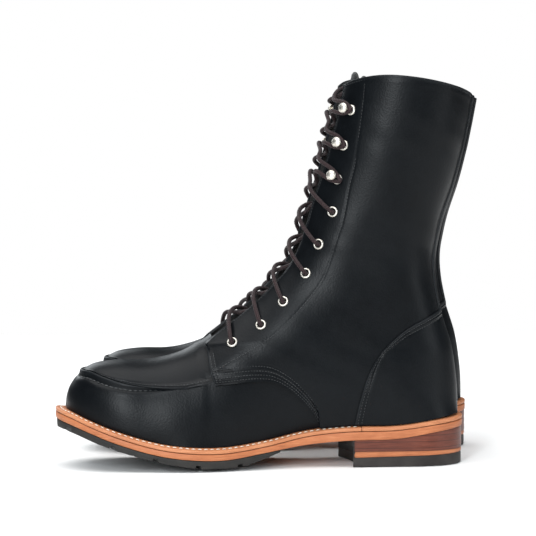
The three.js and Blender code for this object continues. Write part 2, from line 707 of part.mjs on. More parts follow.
const RING_WIDTH = 13;
const INSOLE_INSET = RING_WIDTH - 1.2;
const weltBottomZ = (x) => rimZ(x) - WELT_THICK + SOLE_GAP / 2;
const midsoleTopZ = (x) => rimZ(x) - WELT_THICK - SOLE_GAP / 2;

function weltSolid() {
  const endX = BREAST_X + 6;
  const xOf = (s, inset) => THREE.MathUtils.lerp(TOE_X + inset, endX, bunched(s, true, false));
  return ring(14, [RING_WIDTH, 0], xOf, (x) => rimZ(x), weltBottomZ);
}

function randSolid() {
  const startX = BREAST_X + 6 + 2 * GAP;
  const xOf = (s, inset) => THREE.MathUtils.lerp(HEEL_X - inset, startX, bunched(s, true, false));
  return ring(7, [RING_WIDTH, 0], xOf, (x) => rimZ(x), weltBottomZ);
}

function fillerSolid() {
  const inset = RING_WIDTH + 2.4;
  const top = (x) => rimZ(x) - GAP;
  const low = (x) => weltBottomZ(x) + SOLE_GAP;
  return layer(14, 2, TOE_X + inset, HEEL_X - inset, inset, top, low, true, true);
}

function insoleSolid() {
  const inset = INSOLE_INSET;
  const top = (x) => rimZ(x) + SOLE_GAP + 3.5;
  const low = (x) => rimZ(x) + SOLE_GAP;
  return layer(14, 2, TOE_X + inset, HEEL_X - inset, inset, top, low, true, true);
}

function midsoleSolid() {
  return layer(18, 2, TOE_X, HEEL_X, 0, midsoleTopZ, midsoleBottomZ, true, true);
}

function outsoleSolid() {
  const top = (x) => midsoleBottomZ(x) - GAP;
  const crown = (x, s) => {
    const thick = (top(x) - rubberBottomZ(x)) / 8;
    return rubberBottomZ(x) + 2 * Math.abs(s) ** 3 * THREE.MathUtils.clamp(thick, 0, 1);
  };
  let solid = toSolid(layer(13, 4, TOE_X + 0.8, RUBBER_END_X, 0.8, top, crown, true, false));
  for (let k = 0; k < LUG_GROOVES; k += 1) {
    const x = TOE_X + LUG_FIRST + k * LUG_PITCH;
    for (const side of [-1, 1]) {
      const reach = Math.max(outline(x, side, 0), 12);
      const depth = 0.55 * reach;
      const cut = new THREE.BoxGeometry(LUG_GROOVE_WIDTH, depth + 10, 12);
      const slope = Math.atan2(rubberBottomZ(x + 4) - rubberBottomZ(x - 4), 8);
      cut.rotateZ(side * 0.16).rotateY(-slope);
      cut.translate(x, side * (reach - depth / 2 + 5), rubberBottomZ(x) + LUG_DEPTH - 6);
      solid = solid.subtract(plain(cut));
    }
  }
  return fromSolid(solid);
}

function heelRise(pair) {
  return (x) => THREE.MathUtils.mapLinear(x, BREAST_X, HEEL_X, pair[0], pair[1]);
}

function heelLayer(inset, low, high) {
  return layer(7, 4, BREAST_X, HEEL_X - inset, inset, high, low, false, true, 4);
}

// ---------------------------------------------------------------- lace
// Distance along the crest, so that the lace's places can be set in millimetres.
const crestLength = [0];
const CREST_STEPS = 40;
for (let i = 1; i <= LAST_STATION * CREST_STEPS; i += 1) {
  const [a, b] = [(i - 1) / CREST_STEPS, i / CREST_STEPS];
  crestLength.push(crestLength[i - 1] + Math.hypot(crestX(b) - crestX(a), crestZ(b) - crestZ(a)));
}
function shifted(t, distance) {
  const goal = crestLength[Math.round(t * CREST_STEPS)] + distance;
  let i = 0;
  while (i < crestLength.length - 1 && crestLength[i] < goal) i += 1;
  return i / CREST_STEPS;
}

const FACE = LAP_GAP + LEATHER;
const LACE_OVER = FACE + GAP + LACE_R + 0.6;          // lace centre over the facing
const LACE_CROSS_HIGH = LACE_UNDER + 2 * LACE_R + 1.8;
const LACE_HOOKED = FACE + 0.3 + 0.7 + 0.6 + LACE_R;

function laceHole(k, side) {
  const [x, z] = EYELET_PLACES[k];
  return { t: locate(x, z)[0], y: Math.sqrt(sideSquared(x, z, side)) };
}
function laceHook(k, side) {
  const neck = new THREE.Vector3(HOOK_NECK_X, 0, 0).applyMatrix4(facingFrame(HOOK_PLACES[k], side));
  return { t: locate(neck.x, neck.z)[0], y: Math.abs(neck.y) };
}

// One half of the lace, from the middle of the lowest bar up to its tucked end.
function laceHalf(startSide, firstHigh) {
  const points = [];
  const put = (t, y, lift) => points.push(overTop(t, y, lift));
  let side = startSide;
  let high = firstHigh;
  const edge = FACING_HALF_GAP;
  put(laceHole(0, side).t, side * (edge - 2), LACE_UNDER);
  for (let k = 0; k < EYELET_PLACES.length; k += 1) {
    const hole = laceHole(k, side);
    const isLast = k + 1 === EYELET_PLACES.length;
    put(hole.t, side * (hole.y - 0.4), LACE_UNDER);
    put(hole.t, side * (hole.y - 0.3), LACE_OVER + 0.5);
    const next = isLast ? shifted(laceHook(0, -side).t, -2.9) : laceHole(k + 1, -side).t;
    const along = (u) => hole.t + (next - hole.t) * u;
    put(along(0.2), side * (edge - 1), LACE_OVER);
    put(along(0.5), 0, high ? LACE_CROSS_HIGH : LACE_UNDER);
    if (!isLast) put(along(0.84), -side * (edge - 1), LACE_UNDER);
    side = -side;
    high = !high;
  }
  for (let k = 0; k < HOOK_PLACES.length; k += 1) {
    const hook = laceHook(k, side);
    const isLast = k + 1 === HOOK_PLACES.length;
    const turn = HOOK_NECK_R + LACE_R + HOOK_WRAP;
    const low = shifted(hook.t, 0.6 - turn);
    const up = shifted(hook.t, turn - 0.6);
    put(shifted(hook.t, -0.4 - turn), side * (edge - 2.5), LACE_OVER + 0.2);
    put(low, side * (hook.y + 0.3), LACE_HOOKED);
    put(hook.t, side * (hook.y + turn), LACE_HOOKED);
    put(up, side * (hook.y + 0.3), LACE_HOOKED);
    put(shifted(hook.t, turn + 0.6), side * (edge - 2.5), LACE_OVER + 0.2);
    const next = isLast ? shifted(hook.t, 21) : shifted(laceHook(k + 1, -side).t, -3.2);
    const along = (u) => up + (next - up) * u;
    put(along(0.5), 0, high ? LACE_CROSS_HIGH : LACE_UNDER + 0.2);
    side = -side;
    high = !high;
  }
  const topHook = laceHook(HOOK_PLACES.length - 1, side).t;
  put(shifted(topHook, 17), side * (edge + 1), LACE_UNDER);
  put(shifted(topHook, 18.5), side * (edge + 8), LACE_UNDER);
  return points;
}

// A path that the extrusion samples at its own points.
class LacePath extends THREE.CatmullRomCurve3 {
  getUtoTmapping(u) {
    return u;
  }
}

function laceSolid() {
  const lateral = laceHalf(-1, true);
  const medial = laceHalf(1, false);
  const points = [...medial.reverse(), overTop(laceHole(0, 1).t, 0, LACE_UNDER), ...lateral];
  const lace = new LacePath(points, false, 'centripetal');
  const section = new THREE.Shape();
  for (let k = 0; k <= LACE_SIDES; k += 1) {
    const a = (2 * Math.PI * k) / LACE_SIDES;
    const corner = [LACE_R * Math.cos(a), LACE_R * Math.sin(a)];
    if (k === 0) section.moveTo(...corner);
    else section.lineTo(...corner);
  }
  const options = { steps: points.length - 1, extrudePath: lace, bevelEnabled: false };
  return outward(tidyGeometry(new THREE.ExtrudeGeometry(section, options)));
}

// ---------------------------------------------------------------- materials and assembly
const COLOURS = {
  black_leather: { color: 0x1f2224, roughness: 0.45, metalness: 0 },
  tongue_leather: { color: 0x2a2c2c, roughness: 0.6, metalness: 0 },
  tan_leather: { color: 0xc9834f, roughness: 0.6, metalness: 0 },
  brown_leather: { color: 0x70422f, roughness: 0.55, metalness: 0 },
  insole_leather: { color: 0xb98d62, roughness: 0.8, metalness: 0 },
  cork: { color: 0x8d6a48, roughness: 0.9, metalness: 0 },
  rubber: { color: 0x242321, roughness: 0.75, metalness: 0 },
  nickel: { color: 0xcfc7b6, roughness: 0.35, metalness: 1 },
  lace: { color: 0x3c2829, roughness: 0.8, metalness: 0 },
};

const pieces = {
  outsole: ['rubber', outsoleSolid()],
  midsole: ['tan_leather', midsoleSolid()],
  welt: ['tan_leather', weltSolid()],
  heel_rand: ['tan_leather', randSolid()],
  filler: ['cork', fillerSolid()],
  insole: ['insole_leather', insoleSolid()],
  heel_stack: [
    'brown_leather',
    heelLayer(0.4, (x) => heelRise(TAN_LIFT_TOP)(x) + GAP, (x) => midsoleBottomZ(x) - GAP),
  ],
  heel_lift: [
    'tan_leather',
    heelLayer(0.7, (x) => heelRise(TOP_LIFT_TOP)(x) + GAP, heelRise(TAN_LIFT_TOP)),
  ],
  heel_top_lift: ['rubber', heelLayer(1, () => 0, heelRise(TOP_LIFT_TOP))],
  vamp: ['black_leather', vampSolid()],
  apron: ['black_leather', apronSolid()],
  quarter_lateral: ['black_leather', quarterSolid(-1)],
  quarter_medial: ['black_leather', quarterSolid(1)],
  heel_counter: ['black_leather', counterSolid()],
  backstay: ['black_leather', backstaySolid()],
  tongue: ['tongue_leather', tongueSolid()],
  eyelets_lateral: ['nickel', eyeletRow(-1)],
  eyelets_medial: ['nickel', eyeletRow(1)],
  lace: ['lace', laceSolid()],
};
HOOK_PLACES.forEach((place, k) => {
  pieces[`hook_lateral_${k + 1}`] = ['nickel', hookSolid(place, -1)];
  pieces[`hook_medial_${k + 1}`] = ['nickel', hookSolid(place, 1)];
});

// The origin lies under the middle of the pair's box: the toes and the top of the
// backstay reach furthest along X.
const collarBack = new THREE.Box3().setFromBufferAttribute(pieces.backstay[1].attributes.position).max.x;
const MIDDLE_X = (TOE_X + collarBack + RIGHT_BOOT_STAGGER) / 2;
const group = new THREE.Group();
for (const [boot, mirror] of [['left', 1], ['right', -1]]) {
  for (const [name, [slot, geometry]] of Object.entries(pieces)) {
    const copy = geometry.clone();
    copy.scale(1, mirror, 1);
    const whole = outward(copy);
    const stagger = boot === 'right' ? RIGHT_BOOT_STAGGER : 0;
    whole.translate(stagger - MIDDLE_X, (-mirror * BOOT_SPACING) / 2, 0);
    const mesh = new THREE.Mesh(whole, new THREE.MeshStandardMaterial(COLOURS[slot]));
    mesh.name = `${boot}_${name}`;
    group.add(mesh);
  }
}

export default group;
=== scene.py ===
# %% [markdown]
# # A pair of moc-toe lace-up boots
# Each boot is a leather upper, pulled over a last and sewn to a welt, on a tan leather
# midsole, a lugged rubber forefoot and a stacked leather heel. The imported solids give
# the places. This lesson works out each visible piece again as a fine numpy surface on
# the same last, so that cut edges, seams and single stitches show.
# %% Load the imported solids
import json
import math

import bpy
import numpy as np
from mathutils import Matrix


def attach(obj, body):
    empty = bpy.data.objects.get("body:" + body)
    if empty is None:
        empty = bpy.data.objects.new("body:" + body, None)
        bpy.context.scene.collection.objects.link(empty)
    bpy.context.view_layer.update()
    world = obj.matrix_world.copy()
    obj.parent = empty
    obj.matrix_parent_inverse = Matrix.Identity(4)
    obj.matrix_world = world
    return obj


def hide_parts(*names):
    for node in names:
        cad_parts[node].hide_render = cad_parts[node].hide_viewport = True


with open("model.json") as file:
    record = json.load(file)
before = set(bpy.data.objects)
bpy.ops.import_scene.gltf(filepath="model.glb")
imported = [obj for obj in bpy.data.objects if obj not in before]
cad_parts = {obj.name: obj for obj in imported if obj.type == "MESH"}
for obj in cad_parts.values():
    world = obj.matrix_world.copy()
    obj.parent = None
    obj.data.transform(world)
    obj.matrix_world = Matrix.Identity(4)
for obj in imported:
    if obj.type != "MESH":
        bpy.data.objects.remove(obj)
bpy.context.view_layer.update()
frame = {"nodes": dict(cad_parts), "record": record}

# %% [markdown]
# ## Where each boot stands
# Everything is drawn once, in a boot's own frame in millimetres: x from toe to heel, y
# across with the little-toe side negative, z up. The heel's rest point lies 100 mm
# behind that frame's origin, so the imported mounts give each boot's place. The right
# boot is the left one mirrored.
# %% The two boots' places
MM = 0.001
HEEL_REST_X = 100.0
PLACES = {}
for mount in frame["record"]["mounts"]:
    boot = mount["name"].split("_")[0]
    x_m, y_m, _ = mount["pos_m"]
    PLACES[boot] = (x_m / MM - HEEL_REST_X, y_m / MM, 1 if boot == "left" else -1)
print("origins of the boots in mm", PLACES)


def to_row(points, boot):
    """Boot millimetres to row metres: y is mirrored for the right boot, then the
    boot's origin is added and all is scaled by a thousandth."""
    x0, y0, mirror = PLACES[boot]
    return (np.asarray(points) * (1, mirror, 1) + (x0, y0, 0)) * MM


# %% [markdown]
# ## Camera
# The boots are seen from the left boot's outer side, from nearly two metres away and a
# little above, so that sizes stay true. The camera looks at half the height of the left
# boot, and a long lens fills the frame with the pair.
# %% Camera
AIM_HEIGHT, EYE_FROM_AIM = 146.5, np.array([-193.4, -1839.9, 93.5])
AIM = np.array([PLACES["left"][0], PLACES["left"][1], AIM_HEIGHT]) * MM
EYE = AIM + EYE_FROM_AIM * MM


def facing(place, target):
    """A camera or light at place looks along its own -Z, with level X: back is the unit
    vector away from the target, right is up x back, and the third is back x right."""
    place, target = np.asarray(place, float), np.asarray(target, float)
    back = (place - target) / np.linalg.norm(place - target)
    right = np.cross((0, 0, 1), back)
    right /= np.linalg.norm(right)
    rows = np.column_stack([right, np.cross(back, right), back, place])
    return Matrix([*rows.tolist(), (0, 0, 0, 1)])


camera = bpy.data.objects.new("camera", bpy.data.cameras.new("camera"))
bpy.context.scene.collection.objects.link(camera)
camera.data.lens = 166.0
camera.data.sensor_width = 36.0
camera.data.clip_end = 20.0
camera.matrix_world = facing(EYE, AIM)
bpy.context.scene.camera = camera
print("camera to the left boot", round(float(np.linalg.norm(EYE - AIM)), 3), "m")

# %% [markdown]
# ## The last
# A boot's shape comes from its last. Here a row of straight section lines crosses the
# foot and leg, each from the top line down to the sole or the back line, and each with
# its own half width. Every curve is a smooth function through a few pattern points,
# which are the same ones as in the solid model.
# %% Pattern values of the last, in mm
SOLE_GAP, LAP_GAP, LEATHER = 0.6, 0.9, 2.0
TOE_X, HEEL_X, BREAST_X, RUBBER_END_X = -159.0, 147.0, 60.0, 5.0
WELT_THICK, RING_WIDTH, LAYER_GAP = 4.0, 13, 0.05
RIM_Z = [(-162, 46.5), (-148, 42), (-135, 36.5), (-121, 31), (-106, 26), (-92, 22), (-77, 19),
         (-55, 17), (-33, 17), (-4, 21), (26, 27), (55, 30), (92, 30.8), (122, 34.5), (150, 37.5)]
MIDSOLE_BOTTOM_Z = [(-162, 37.5), (-148, 33), (-135, 28), (-121, 22.5), (-106, 17.5), (-92, 13.5),
                    (-77, 10.5), (-55, 8.3), (-33, 8.3), (-4, 12.5), (26, 17), (55, 19.5),
                    (92, 20.5), (122, 25), (150, 28.5)]
RUBBER_BOTTOM_Z = [(-162, 31), (-146, 25.5), (-128, 18.2), (-106, 11.2), (-84, 5.4), (-63, 1.4),
                   (-48, 0), (-30, 0), (-19, 2), (-9, 5.6), (10, 14)]
SOLE_LATERAL = [(-162, 44), (-98, 48.5), (-55, 52), (-10, 42), (25, 34), (60, 34.5), (150, 35.5)]
SOLE_MEDIAL = [(-162, 43), (-98, 46.5), (-62, 48.5), (-10, 37), (25, 30), (60, 32.5), (150, 34.5)]
EDGE_STAND = [(-162, 8), (-60, 6.5), (0, 6.2), (40, 6), (70, 7), (150, 7)]
CREST = [(-151.5, 46), (-150.5, 53), (-147.5, 61), (-141.5, 68.5), (-135, 73.8), (-127, 77),
         (-112, 78.6), (-93, 79), (-77, 81.5), (-62, 86.5), (-47.5, 95.5), (-29.5, 111),
         (-11.5, 125.5), (0.9, 138.7), (9, 150), (14.5, 159), (18.5, 168), (22, 178), (25, 188),
         (28.5, 199), (33, 211), (38, 225), (42, 238), (46, 252), (50.2, 266.4), (54, 281), (59, 300)]
FEATHER_X = [-151.5, -150.5, -147.5, -141.5, -135, -127, -112, -93, -77, -62, -42, -12, 30, 72,
             110, 131, 138.5]
BACK = [(138.5, 36.5), (137.5, 60), (133.5, 87), (127, 112), (122.5, 135), (122, 156),
        (127.5, 183), (136.5, 211), (144, 241), (149.5, 268), (154.5, 297)]
WIDTH_LATERAL = [46, 46, 46, 46, 46, 46, 46, 46, 46, 46, 44.5, 40.5, 37.5, 35.5, 34, 33.2, 32.7,
                 32.7, 33, 34, 35, 36.5, 38.5, 41, 43.5, 45, 46.5]
WIDTH_MEDIAL = [43, 43, 43, 43, 43, 43, 43, 43, 43, 43, 41.5, 38.5, 36.2, 34.5, 33, 32.2, 31.7,
                31.7, 32, 33, 34, 35.5, 37.5, 40, 42.5, 44, 45.5]
WIDEST_AT = [0.9, 0.9, 0.9, 0.9, 0.9, 0.9, 0.9, 0.88, 0.85, 0.8, 0.7, 0.56, 0.46, 0.38, 0.33, 0.31,
             0.3, 0.31, 0.33, 0.37, 0.41, 0.45, 0.48, 0.5, 0.5, 0.5, 0.5]
CREST_SQUARE = [2.3, 2.3, 2.3, 2.35, 2.4, 2.4, 2.35, 2.2, 2.1] + [2.0] * 14 + [2.05, 2.1, 2.1, 2.1]
BACK_SQUARE = [2] * 11 + [2.1, 2.2, 2.3, 2.4, 2.45, 2.45, 2.45, 2.4, 2.3, 2.2, 2.1, 2, 2.05] + [2.1] * 3
LAST_STATION, CORNER_STATION, FOREFOOT_STATION = len(CREST) - 1, len(FEATHER_X) - 1, 9
TOE_ROUND_FROM, HEEL_ROUND_FROM = -98.0, 106.0
TOE_SQUARE, HEEL_SQUARE = 2.3, 2.2
FOREFOOT_FULLNESS = 1.03


def smooth(points):
    """A smooth function through (x, value) points: between two neighbours it is the
    cubic that meets both, with a slope at each point equal to the slope of the line
    joining the points either side of it."""
    p = np.asarray(points, float)
    x, value = p[:, 0], p[:, 1]
    before = np.maximum(np.arange(len(x)) - 1, 0)
    after = np.minimum(np.arange(len(x)) + 1, len(x) - 1)
    slope = (value[after] - value[before]) / (x[after] - x[before])

    def at(q):
        q = np.asarray(q, float)
        i = np.clip(np.searchsorted(x, q, side="left") - 1, 0, len(x) - 2)
        width = x[i + 1] - x[i]
        u = np.clip((q - x[i]) / width, 0, 1)
        return (value[i] * (2 * u**3 - 3 * u**2 + 1) + value[i + 1] * (3 * u**2 - 2 * u**3)
                + slope[i] * width * (u**3 - 2 * u**2 + u) + slope[i + 1] * width * (u**3 - u**2))

    return at


def numbered(values):
    """The smooth function whose points are at 0, 1, 2 and so on."""
    return smooth(list(enumerate(values)))


rim_z, midsole_bottom_z = smooth(RIM_Z), smooth(MIDSOLE_BOTTOM_Z)
rubber_profile, edge_stand = smooth(RUBBER_BOTTOM_Z), smooth(EDGE_STAND)
sole_half = {-1: smooth(SOLE_LATERAL), 1: smooth(SOLE_MEDIAL)}
crest_x, crest_z = numbered([p[0] for p in CREST]), numbered([p[1] for p in CREST])
back_x, back_z = numbered([p[0] for p in BACK]), numbered([p[1] for p in BACK])
feather_x, widest_at = numbered(FEATHER_X), numbered(WIDEST_AT)
crest_square, back_square = numbered(CREST_SQUARE), numbered(BACK_SQUARE)
width_of = {-1: numbered(WIDTH_LATERAL), 1: numbered(WIDTH_MEDIAL)}
print("the last has", LAST_STATION + 1, "section lines")


# %% Half widths of the sole and of the last
def by_side(side, pair, at):
    """The lateral function where side is -1 and the medial one where it is +1."""
    return np.where(side < 0, pair[-1](at), pair[1](at))


def sole_edge(x, side, inset):
    """Half width of the sole at x, less the inset, times a rounding for toe and heel:
    (1 - s^n)^(1/n), where s runs from 0 to 1 over the rounded length."""
    toe = np.clip((TOE_ROUND_FROM - x) / (TOE_ROUND_FROM - TOE_X - inset), 0, 1)
    heel = np.clip((x - HEEL_ROUND_FROM) / (HEEL_X - inset - HEEL_ROUND_FROM), 0, 1)
    rounding = (1 - toe**TOE_SQUARE) ** (1 / TOE_SQUARE) * (1 - heel**HEEL_SQUARE) ** (1 / HEEL_SQUARE)
    return (by_side(side, sole_half, x) - inset) * rounding


def section_line(t):
    """Top point and low point (x, z) of the section line at station t."""
    low_x = np.where(t <= CORNER_STATION, feather_x(t), back_x(t - CORNER_STATION))
    low_z = np.where(t <= CORNER_STATION, rim_z(low_x) - 1, back_z(t - CORNER_STATION))
    return crest_x(t), crest_z(t), low_x, low_z


def half_width_squared(t, f, side):
    """Square of the half width a fraction f down the section line at station t. Above
    the widest place it follows a superellipse in f, below it another that ends at the
    sole's own width, or at zero on the back line."""
    _, _, low_x, _ = section_line(t)
    width = by_side(side, width_of, t)
    at_sole = np.where(t <= CORNER_STATION, sole_edge(low_x, side, edge_stand(low_x)), 0)
    width = np.where(t <= FOREFOOT_STATION, at_sole * FOREFOOT_FULLNESS, width)
    base = np.clip(at_sole / np.maximum(width, 1e-6), 0, 1)
    widest, n, m = widest_at(t), crest_square(t), back_square(t)
    rest = np.maximum(1 - f / widest, 0)
    above = 1 - rest**n
    g = np.maximum((f - widest) / (1 - widest), 0)
    below = 1 - (1 - base**m) * g**m
    signed = lambda v, p: np.sign(v) * np.abs(v) ** p
    return width**2 * np.where(f < widest, signed(above, 2 / n), signed(below, 2 / m))


# %% The last's surface
STEPS, HALVINGS = 64, 11
TABLE = np.arange(LAST_STATION * STEPS + 1) / STEPS
TOP_X, TOP_Z, LOW_X, LOW_Z = section_line(TABLE)


def station(x, z):
    """The station whose section line passes through (x, z), by halving a table of
    lines until two neighbours hold the point, then by proportion, and the fraction of
    the line at which it passes."""
    side_of = lambda i: (x - TOP_X[i]) * (LOW_Z[i] - TOP_Z[i]) - (z - TOP_Z[i]) * (LOW_X[i] - TOP_X[i])
    low, high = np.zeros(np.shape(x), int), np.full(np.shape(x), len(TABLE) - 1)
    for _ in range(HALVINGS):
        middle = (low + high) // 2
        ahead = side_of(middle) < 0
        low, high = np.where(ahead, middle, low), np.where(ahead, high, middle)
    a, b = side_of(low), side_of(high)
    t = (low + np.clip(a / np.where(a == b, 1, a - b), 0, 1) * (high - low)) / STEPS
    cx, cz, bx, bz = section_line(t)
    return t, ((x - cx) * (bx - cx) + (z - cz) * (bz - cz)) / ((bx - cx) ** 2 + (bz - cz) ** 2)


def squared_at(x, z, side):
    """Square of the half width at (x, z), by way of its station and fraction."""
    return half_width_squared(*station(x, z), side)


def last(x, z, side):
    """A point of the last and its outward normal. y is the root of the squared half
    width, and the normal is (-dw/dx, 2y, -dw/dz) of that square, made unit length."""
    x, z, side = np.broadcast_arrays(np.asarray(x, float), np.asarray(z, float), side)
    h = 0.4
    y = np.sqrt(np.maximum(squared_at(x, z, side), 0))
    gx = (squared_at(x + h, z, side) - squared_at(x - h, z, side)) / (2 * h)
    gz = (squared_at(x, z + h, side) - squared_at(x, z - h, side)) / (2 * h)
    normal = np.stack([-gx, 2 * y, -gz], -1)
    normal /= np.linalg.norm(normal, axis=-1, keepdims=True) + 1e-12
    turn = np.stack([np.ones_like(y), side, np.ones_like(y)], -1)
    return np.stack([x, y, z], -1) * turn, normal * turn


def over_top(t, y):
    """The point of the last at station t and distance y from the centre plane, found by
    turning the upper superellipse round, and its outward normal."""
    t, y = np.broadcast_arrays(np.asarray(t, float), np.asarray(y, float))
    side = np.where(y < 0, -1, 1)
    across = np.minimum(np.abs(y) / by_side(side, width_of, t), 0.999)
    n = crest_square(t)
    f = widest_at(t) * (1 - (1 - across**n) ** (1 / n))
    cx, cz, bx, bz = section_line(t)
    x, z = cx + (bx - cx) * f, cz + (bz - cz) * f
    _, normal = last(x, z, side)
    point = np.stack([x, y, z], -1)
    out = np.stack([normal[..., 0], np.abs(normal[..., 1]) * np.sign(y), normal[..., 2]], -1)
    return point, out


instep, _ = over_top([12.0, 20.0], [0.0, 0.0])
print("instep and shin of the last", np.round(instep, 1).tolist())

# %% [markdown]
# ## Small tools
# A thin piece is a grid of points for its outer face and one for its inner face, joined
# round the border, so that it is closed. A solid's signed volume tells which way its
# faces point, and they are turned outwards. Parts of one piece, such as a row of
# stitches, are put into one mesh.
# %% Shells, tubes and turned shapes
def outward(points, quads):
    """Quads turned so that the signed volume, the sum of p0 . (p1 x p2) / 6 over the
    triangles, is positive."""
    p = points[quads]
    volume = np.einsum("ij,ij->i", p[:, 0], np.cross(p[:, 1], p[:, 2])).sum()
    volume += np.einsum("ij,ij->i", p[:, 0], np.cross(p[:, 2], p[:, 3])).sum()
    return quads if volume > 0 else quads[:, ::-1]


def grid_quads(rows, columns, first=0, wrap=False):
    """Quads of a grid of points numbered row by row; wrap closes each row on itself."""
    i, j = np.meshgrid(np.arange(rows - 1), np.arange(columns if wrap else columns - 1), indexing="ij")
    k = (j + 1) % columns
    corners = [i * columns + j, i * columns + k, (i + 1) * columns + k, (i + 1) * columns + j]
    return first + np.stack(corners, -1).reshape(-1, 4)


def border(rows, columns):
    """Numbers of a grid's border points, once round."""
    n = np.arange(rows * columns).reshape(rows, columns)
    return np.concatenate([n[0, :-1], n[:-1, -1], n[-1, :0:-1], n[:0:-1, 0]])


def shell(outer, inner, walls=()):
    """A closed solid from two grids of points. walls are rings of points that lie
    between their borders, from the outer to the inner."""
    rows, columns = outer.shape[:2]
    count, ring = rows * columns, border(rows, columns)
    points = [outer.reshape(-1, 3), inner.reshape(-1, 3)]
    rings = [ring]
    for k, wall in enumerate(walls):
        points.append(wall)
        rings.append(2 * count + k * len(ring) + np.arange(len(ring)))
    rings.append(count + ring)
    quads = [grid_quads(rows, columns), grid_quads(rows, columns, count)[:, ::-1]]
    for a, b in zip(rings, rings[1:]):
        quads.append(np.stack([np.roll(a, -1), a, b, np.roll(b, -1)], -1))
    points, quads = np.concatenate(points), np.concatenate(quads)
    return points, outward(points, quads)


def tube(rings):
    """A closed tube from rings of points, with a small fan of quads over each end."""
    count, around = rings.shape[:2]
    quads = [grid_quads(count, around, wrap=True)]
    half = np.arange(around // 2 - 1)
    cap = np.stack([half, half + 1, around - 2 - half, around - 1 - half], -1)
    quads += [cap[:, ::-1], cap + (count - 1) * around]
    points = rings.reshape(-1, 3)
    return points, outward(points, np.concatenate(quads))


def turned(profile, around):
    """A closed (radius, height) outline turned about its height axis: a ring."""
    a = 2 * np.pi * np.arange(around) / around
    r, z = np.asarray(profile, float).T
    points = np.stack([r[:, None] * np.cos(a), r[:, None] * np.sin(a), z[:, None] + 0 * a], -1)
    quads = grid_quads(len(r), around, wrap=True)
    loop = np.arange(around)
    closing = np.stack([(len(r) - 1) * around + loop, (len(r) - 1) * around + (loop + 1) % around,
                        (loop + 1) % around, loop], -1)
    points = points.reshape(-1, 3)
    return points, outward(points, np.concatenate([quads, closing]))


def together(parts):
    """Several (points, quads) as one."""
    starts = np.cumsum([0] + [len(p) for p, _ in parts[:-1]])
    return np.concatenate([p for p, _ in parts]), np.concatenate([q + s for (_, q), s in zip(parts, starts)])


def distance_along(points, axis):
    """Length walked along a grid's lines from its first row or column."""
    step = np.linalg.norm(np.diff(points, axis=axis), axis=-1)
    start = np.zeros_like(np.take(step, [0], axis=axis))
    return np.concatenate([start, np.cumsum(step, axis=axis)], axis=axis)


def mixed(a, b, share):
    """a where the share is 0, b where it is 1, and in proportion between."""
    return a + (b - a) * share


def ease(low, high, x):
    """0 below low, 1 above high, and 3u^2 - 2u^3 between."""
    u = np.clip((x - low) / (high - low), 0, 1)
    return u * u * (3 - 2 * u)


def bell(x, width):
    """1 at zero, falling to nothing on both sides as e to the minus (x / width)^2."""
    return np.exp(-((x / width) ** 2))


def cut_edge(distance, radius):
    """How far a rounded edge lies below its face: a quarter circle over the radius."""
    d = np.clip(distance, 0, radius)
    return radius - np.sqrt(radius**2 - (radius - d) ** 2)


def finish_piece(name, boot, body, points, quads, material, slot=None, replaces=(), uv=None,
                 fields=None, second=None, sharp=40):
    """Puts points and quads into a mesh in row metres that rides a body. fields are
    numbers at the points, kept as attributes, and second is (material, which faces)."""
    mirror = PLACES[boot][2]
    quads = quads if mirror > 0 else quads[:, ::-1]
    mesh = bpy.data.meshes.new(name)
    mesh.vertices.add(len(points))
    mesh.vertices.foreach_set("co", to_row(points, boot).astype(np.float32).ravel())
    mesh.loops.add(quads.size)
    mesh.loops.foreach_set("vertex_index", quads.astype(np.int32).ravel())
    mesh.polygons.add(len(quads))
    mesh.polygons.foreach_set("loop_start", (np.arange(len(quads)) * 4).astype(np.int32))
    mesh.update(calc_edges=True)
    mesh.materials.append(material)
    if second is not None:
        mesh.materials.append(second[0])
        mesh.polygons.foreach_set("material_index", second[1].astype(np.int32))
    if uv is not None:
        uv_layer = mesh.uv_layers.new(name="UVMap")
        uv_layer.data.foreach_set("uv", uv[quads.ravel()].astype(np.float32).ravel())
    for field, values in (fields or {}).items():
        attribute = mesh.attributes.new(field, "FLOAT", "POINT")
        attribute.data.foreach_set("value", np.asarray(values, np.float32).ravel())
    mesh.polygons.foreach_set("use_smooth", np.ones(len(quads), bool))
    mesh.set_sharp_from_angle(angle=math.radians(sharp))
    piece = bpy.data.objects.new(name, mesh)
    bpy.context.scene.collection.objects.link(piece)
    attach(piece, body)
    if replaces:
        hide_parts(*replaces)
    return piece


print("tools ready")

# %% [markdown]
# ## Finishes
# A material is a small graph of nodes. Three facts make leather: its colour wanders a
# little over the hide, its gloss wanders with it, and the grain is a fine bump. Patterns
# read the object's own places, so they stay on the piece in every view.
# Numbers that are the same all over sit on the shader's own sockets.
# %% Node tools
def fresh(name, roughness, metallic=0.0, specular=0.5, coat=0.0, coat_roughness=0.3, sheen=0.0):
    """A new material with its shader, and the constants set on the shader itself."""
    material = bpy.data.materials.new(name)
    material.use_nodes = True
    shader = material.node_tree.nodes["Principled BSDF"]
    shader.inputs["Roughness"].default_value = roughness
    shader.inputs["Metallic"].default_value = metallic
    shader.inputs["Specular IOR Level"].default_value = specular
    shader.inputs["Coat Weight"].default_value = coat
    shader.inputs["Coat Roughness"].default_value = coat_roughness
    shader.inputs["Sheen Weight"].default_value = sheen
    shader.inputs["Sheen Roughness"].default_value = 0.5
    return material, material.node_tree, shader


def node(tree, kind, **values):
    """A node with its properties and unlinked inputs set by name."""
    new = tree.nodes.new(kind)
    for key, value in values.items():
        if hasattr(new, key):
            setattr(new, key, value)
        else:
            new.inputs[key.replace("_", " ")].default_value = value
    return new


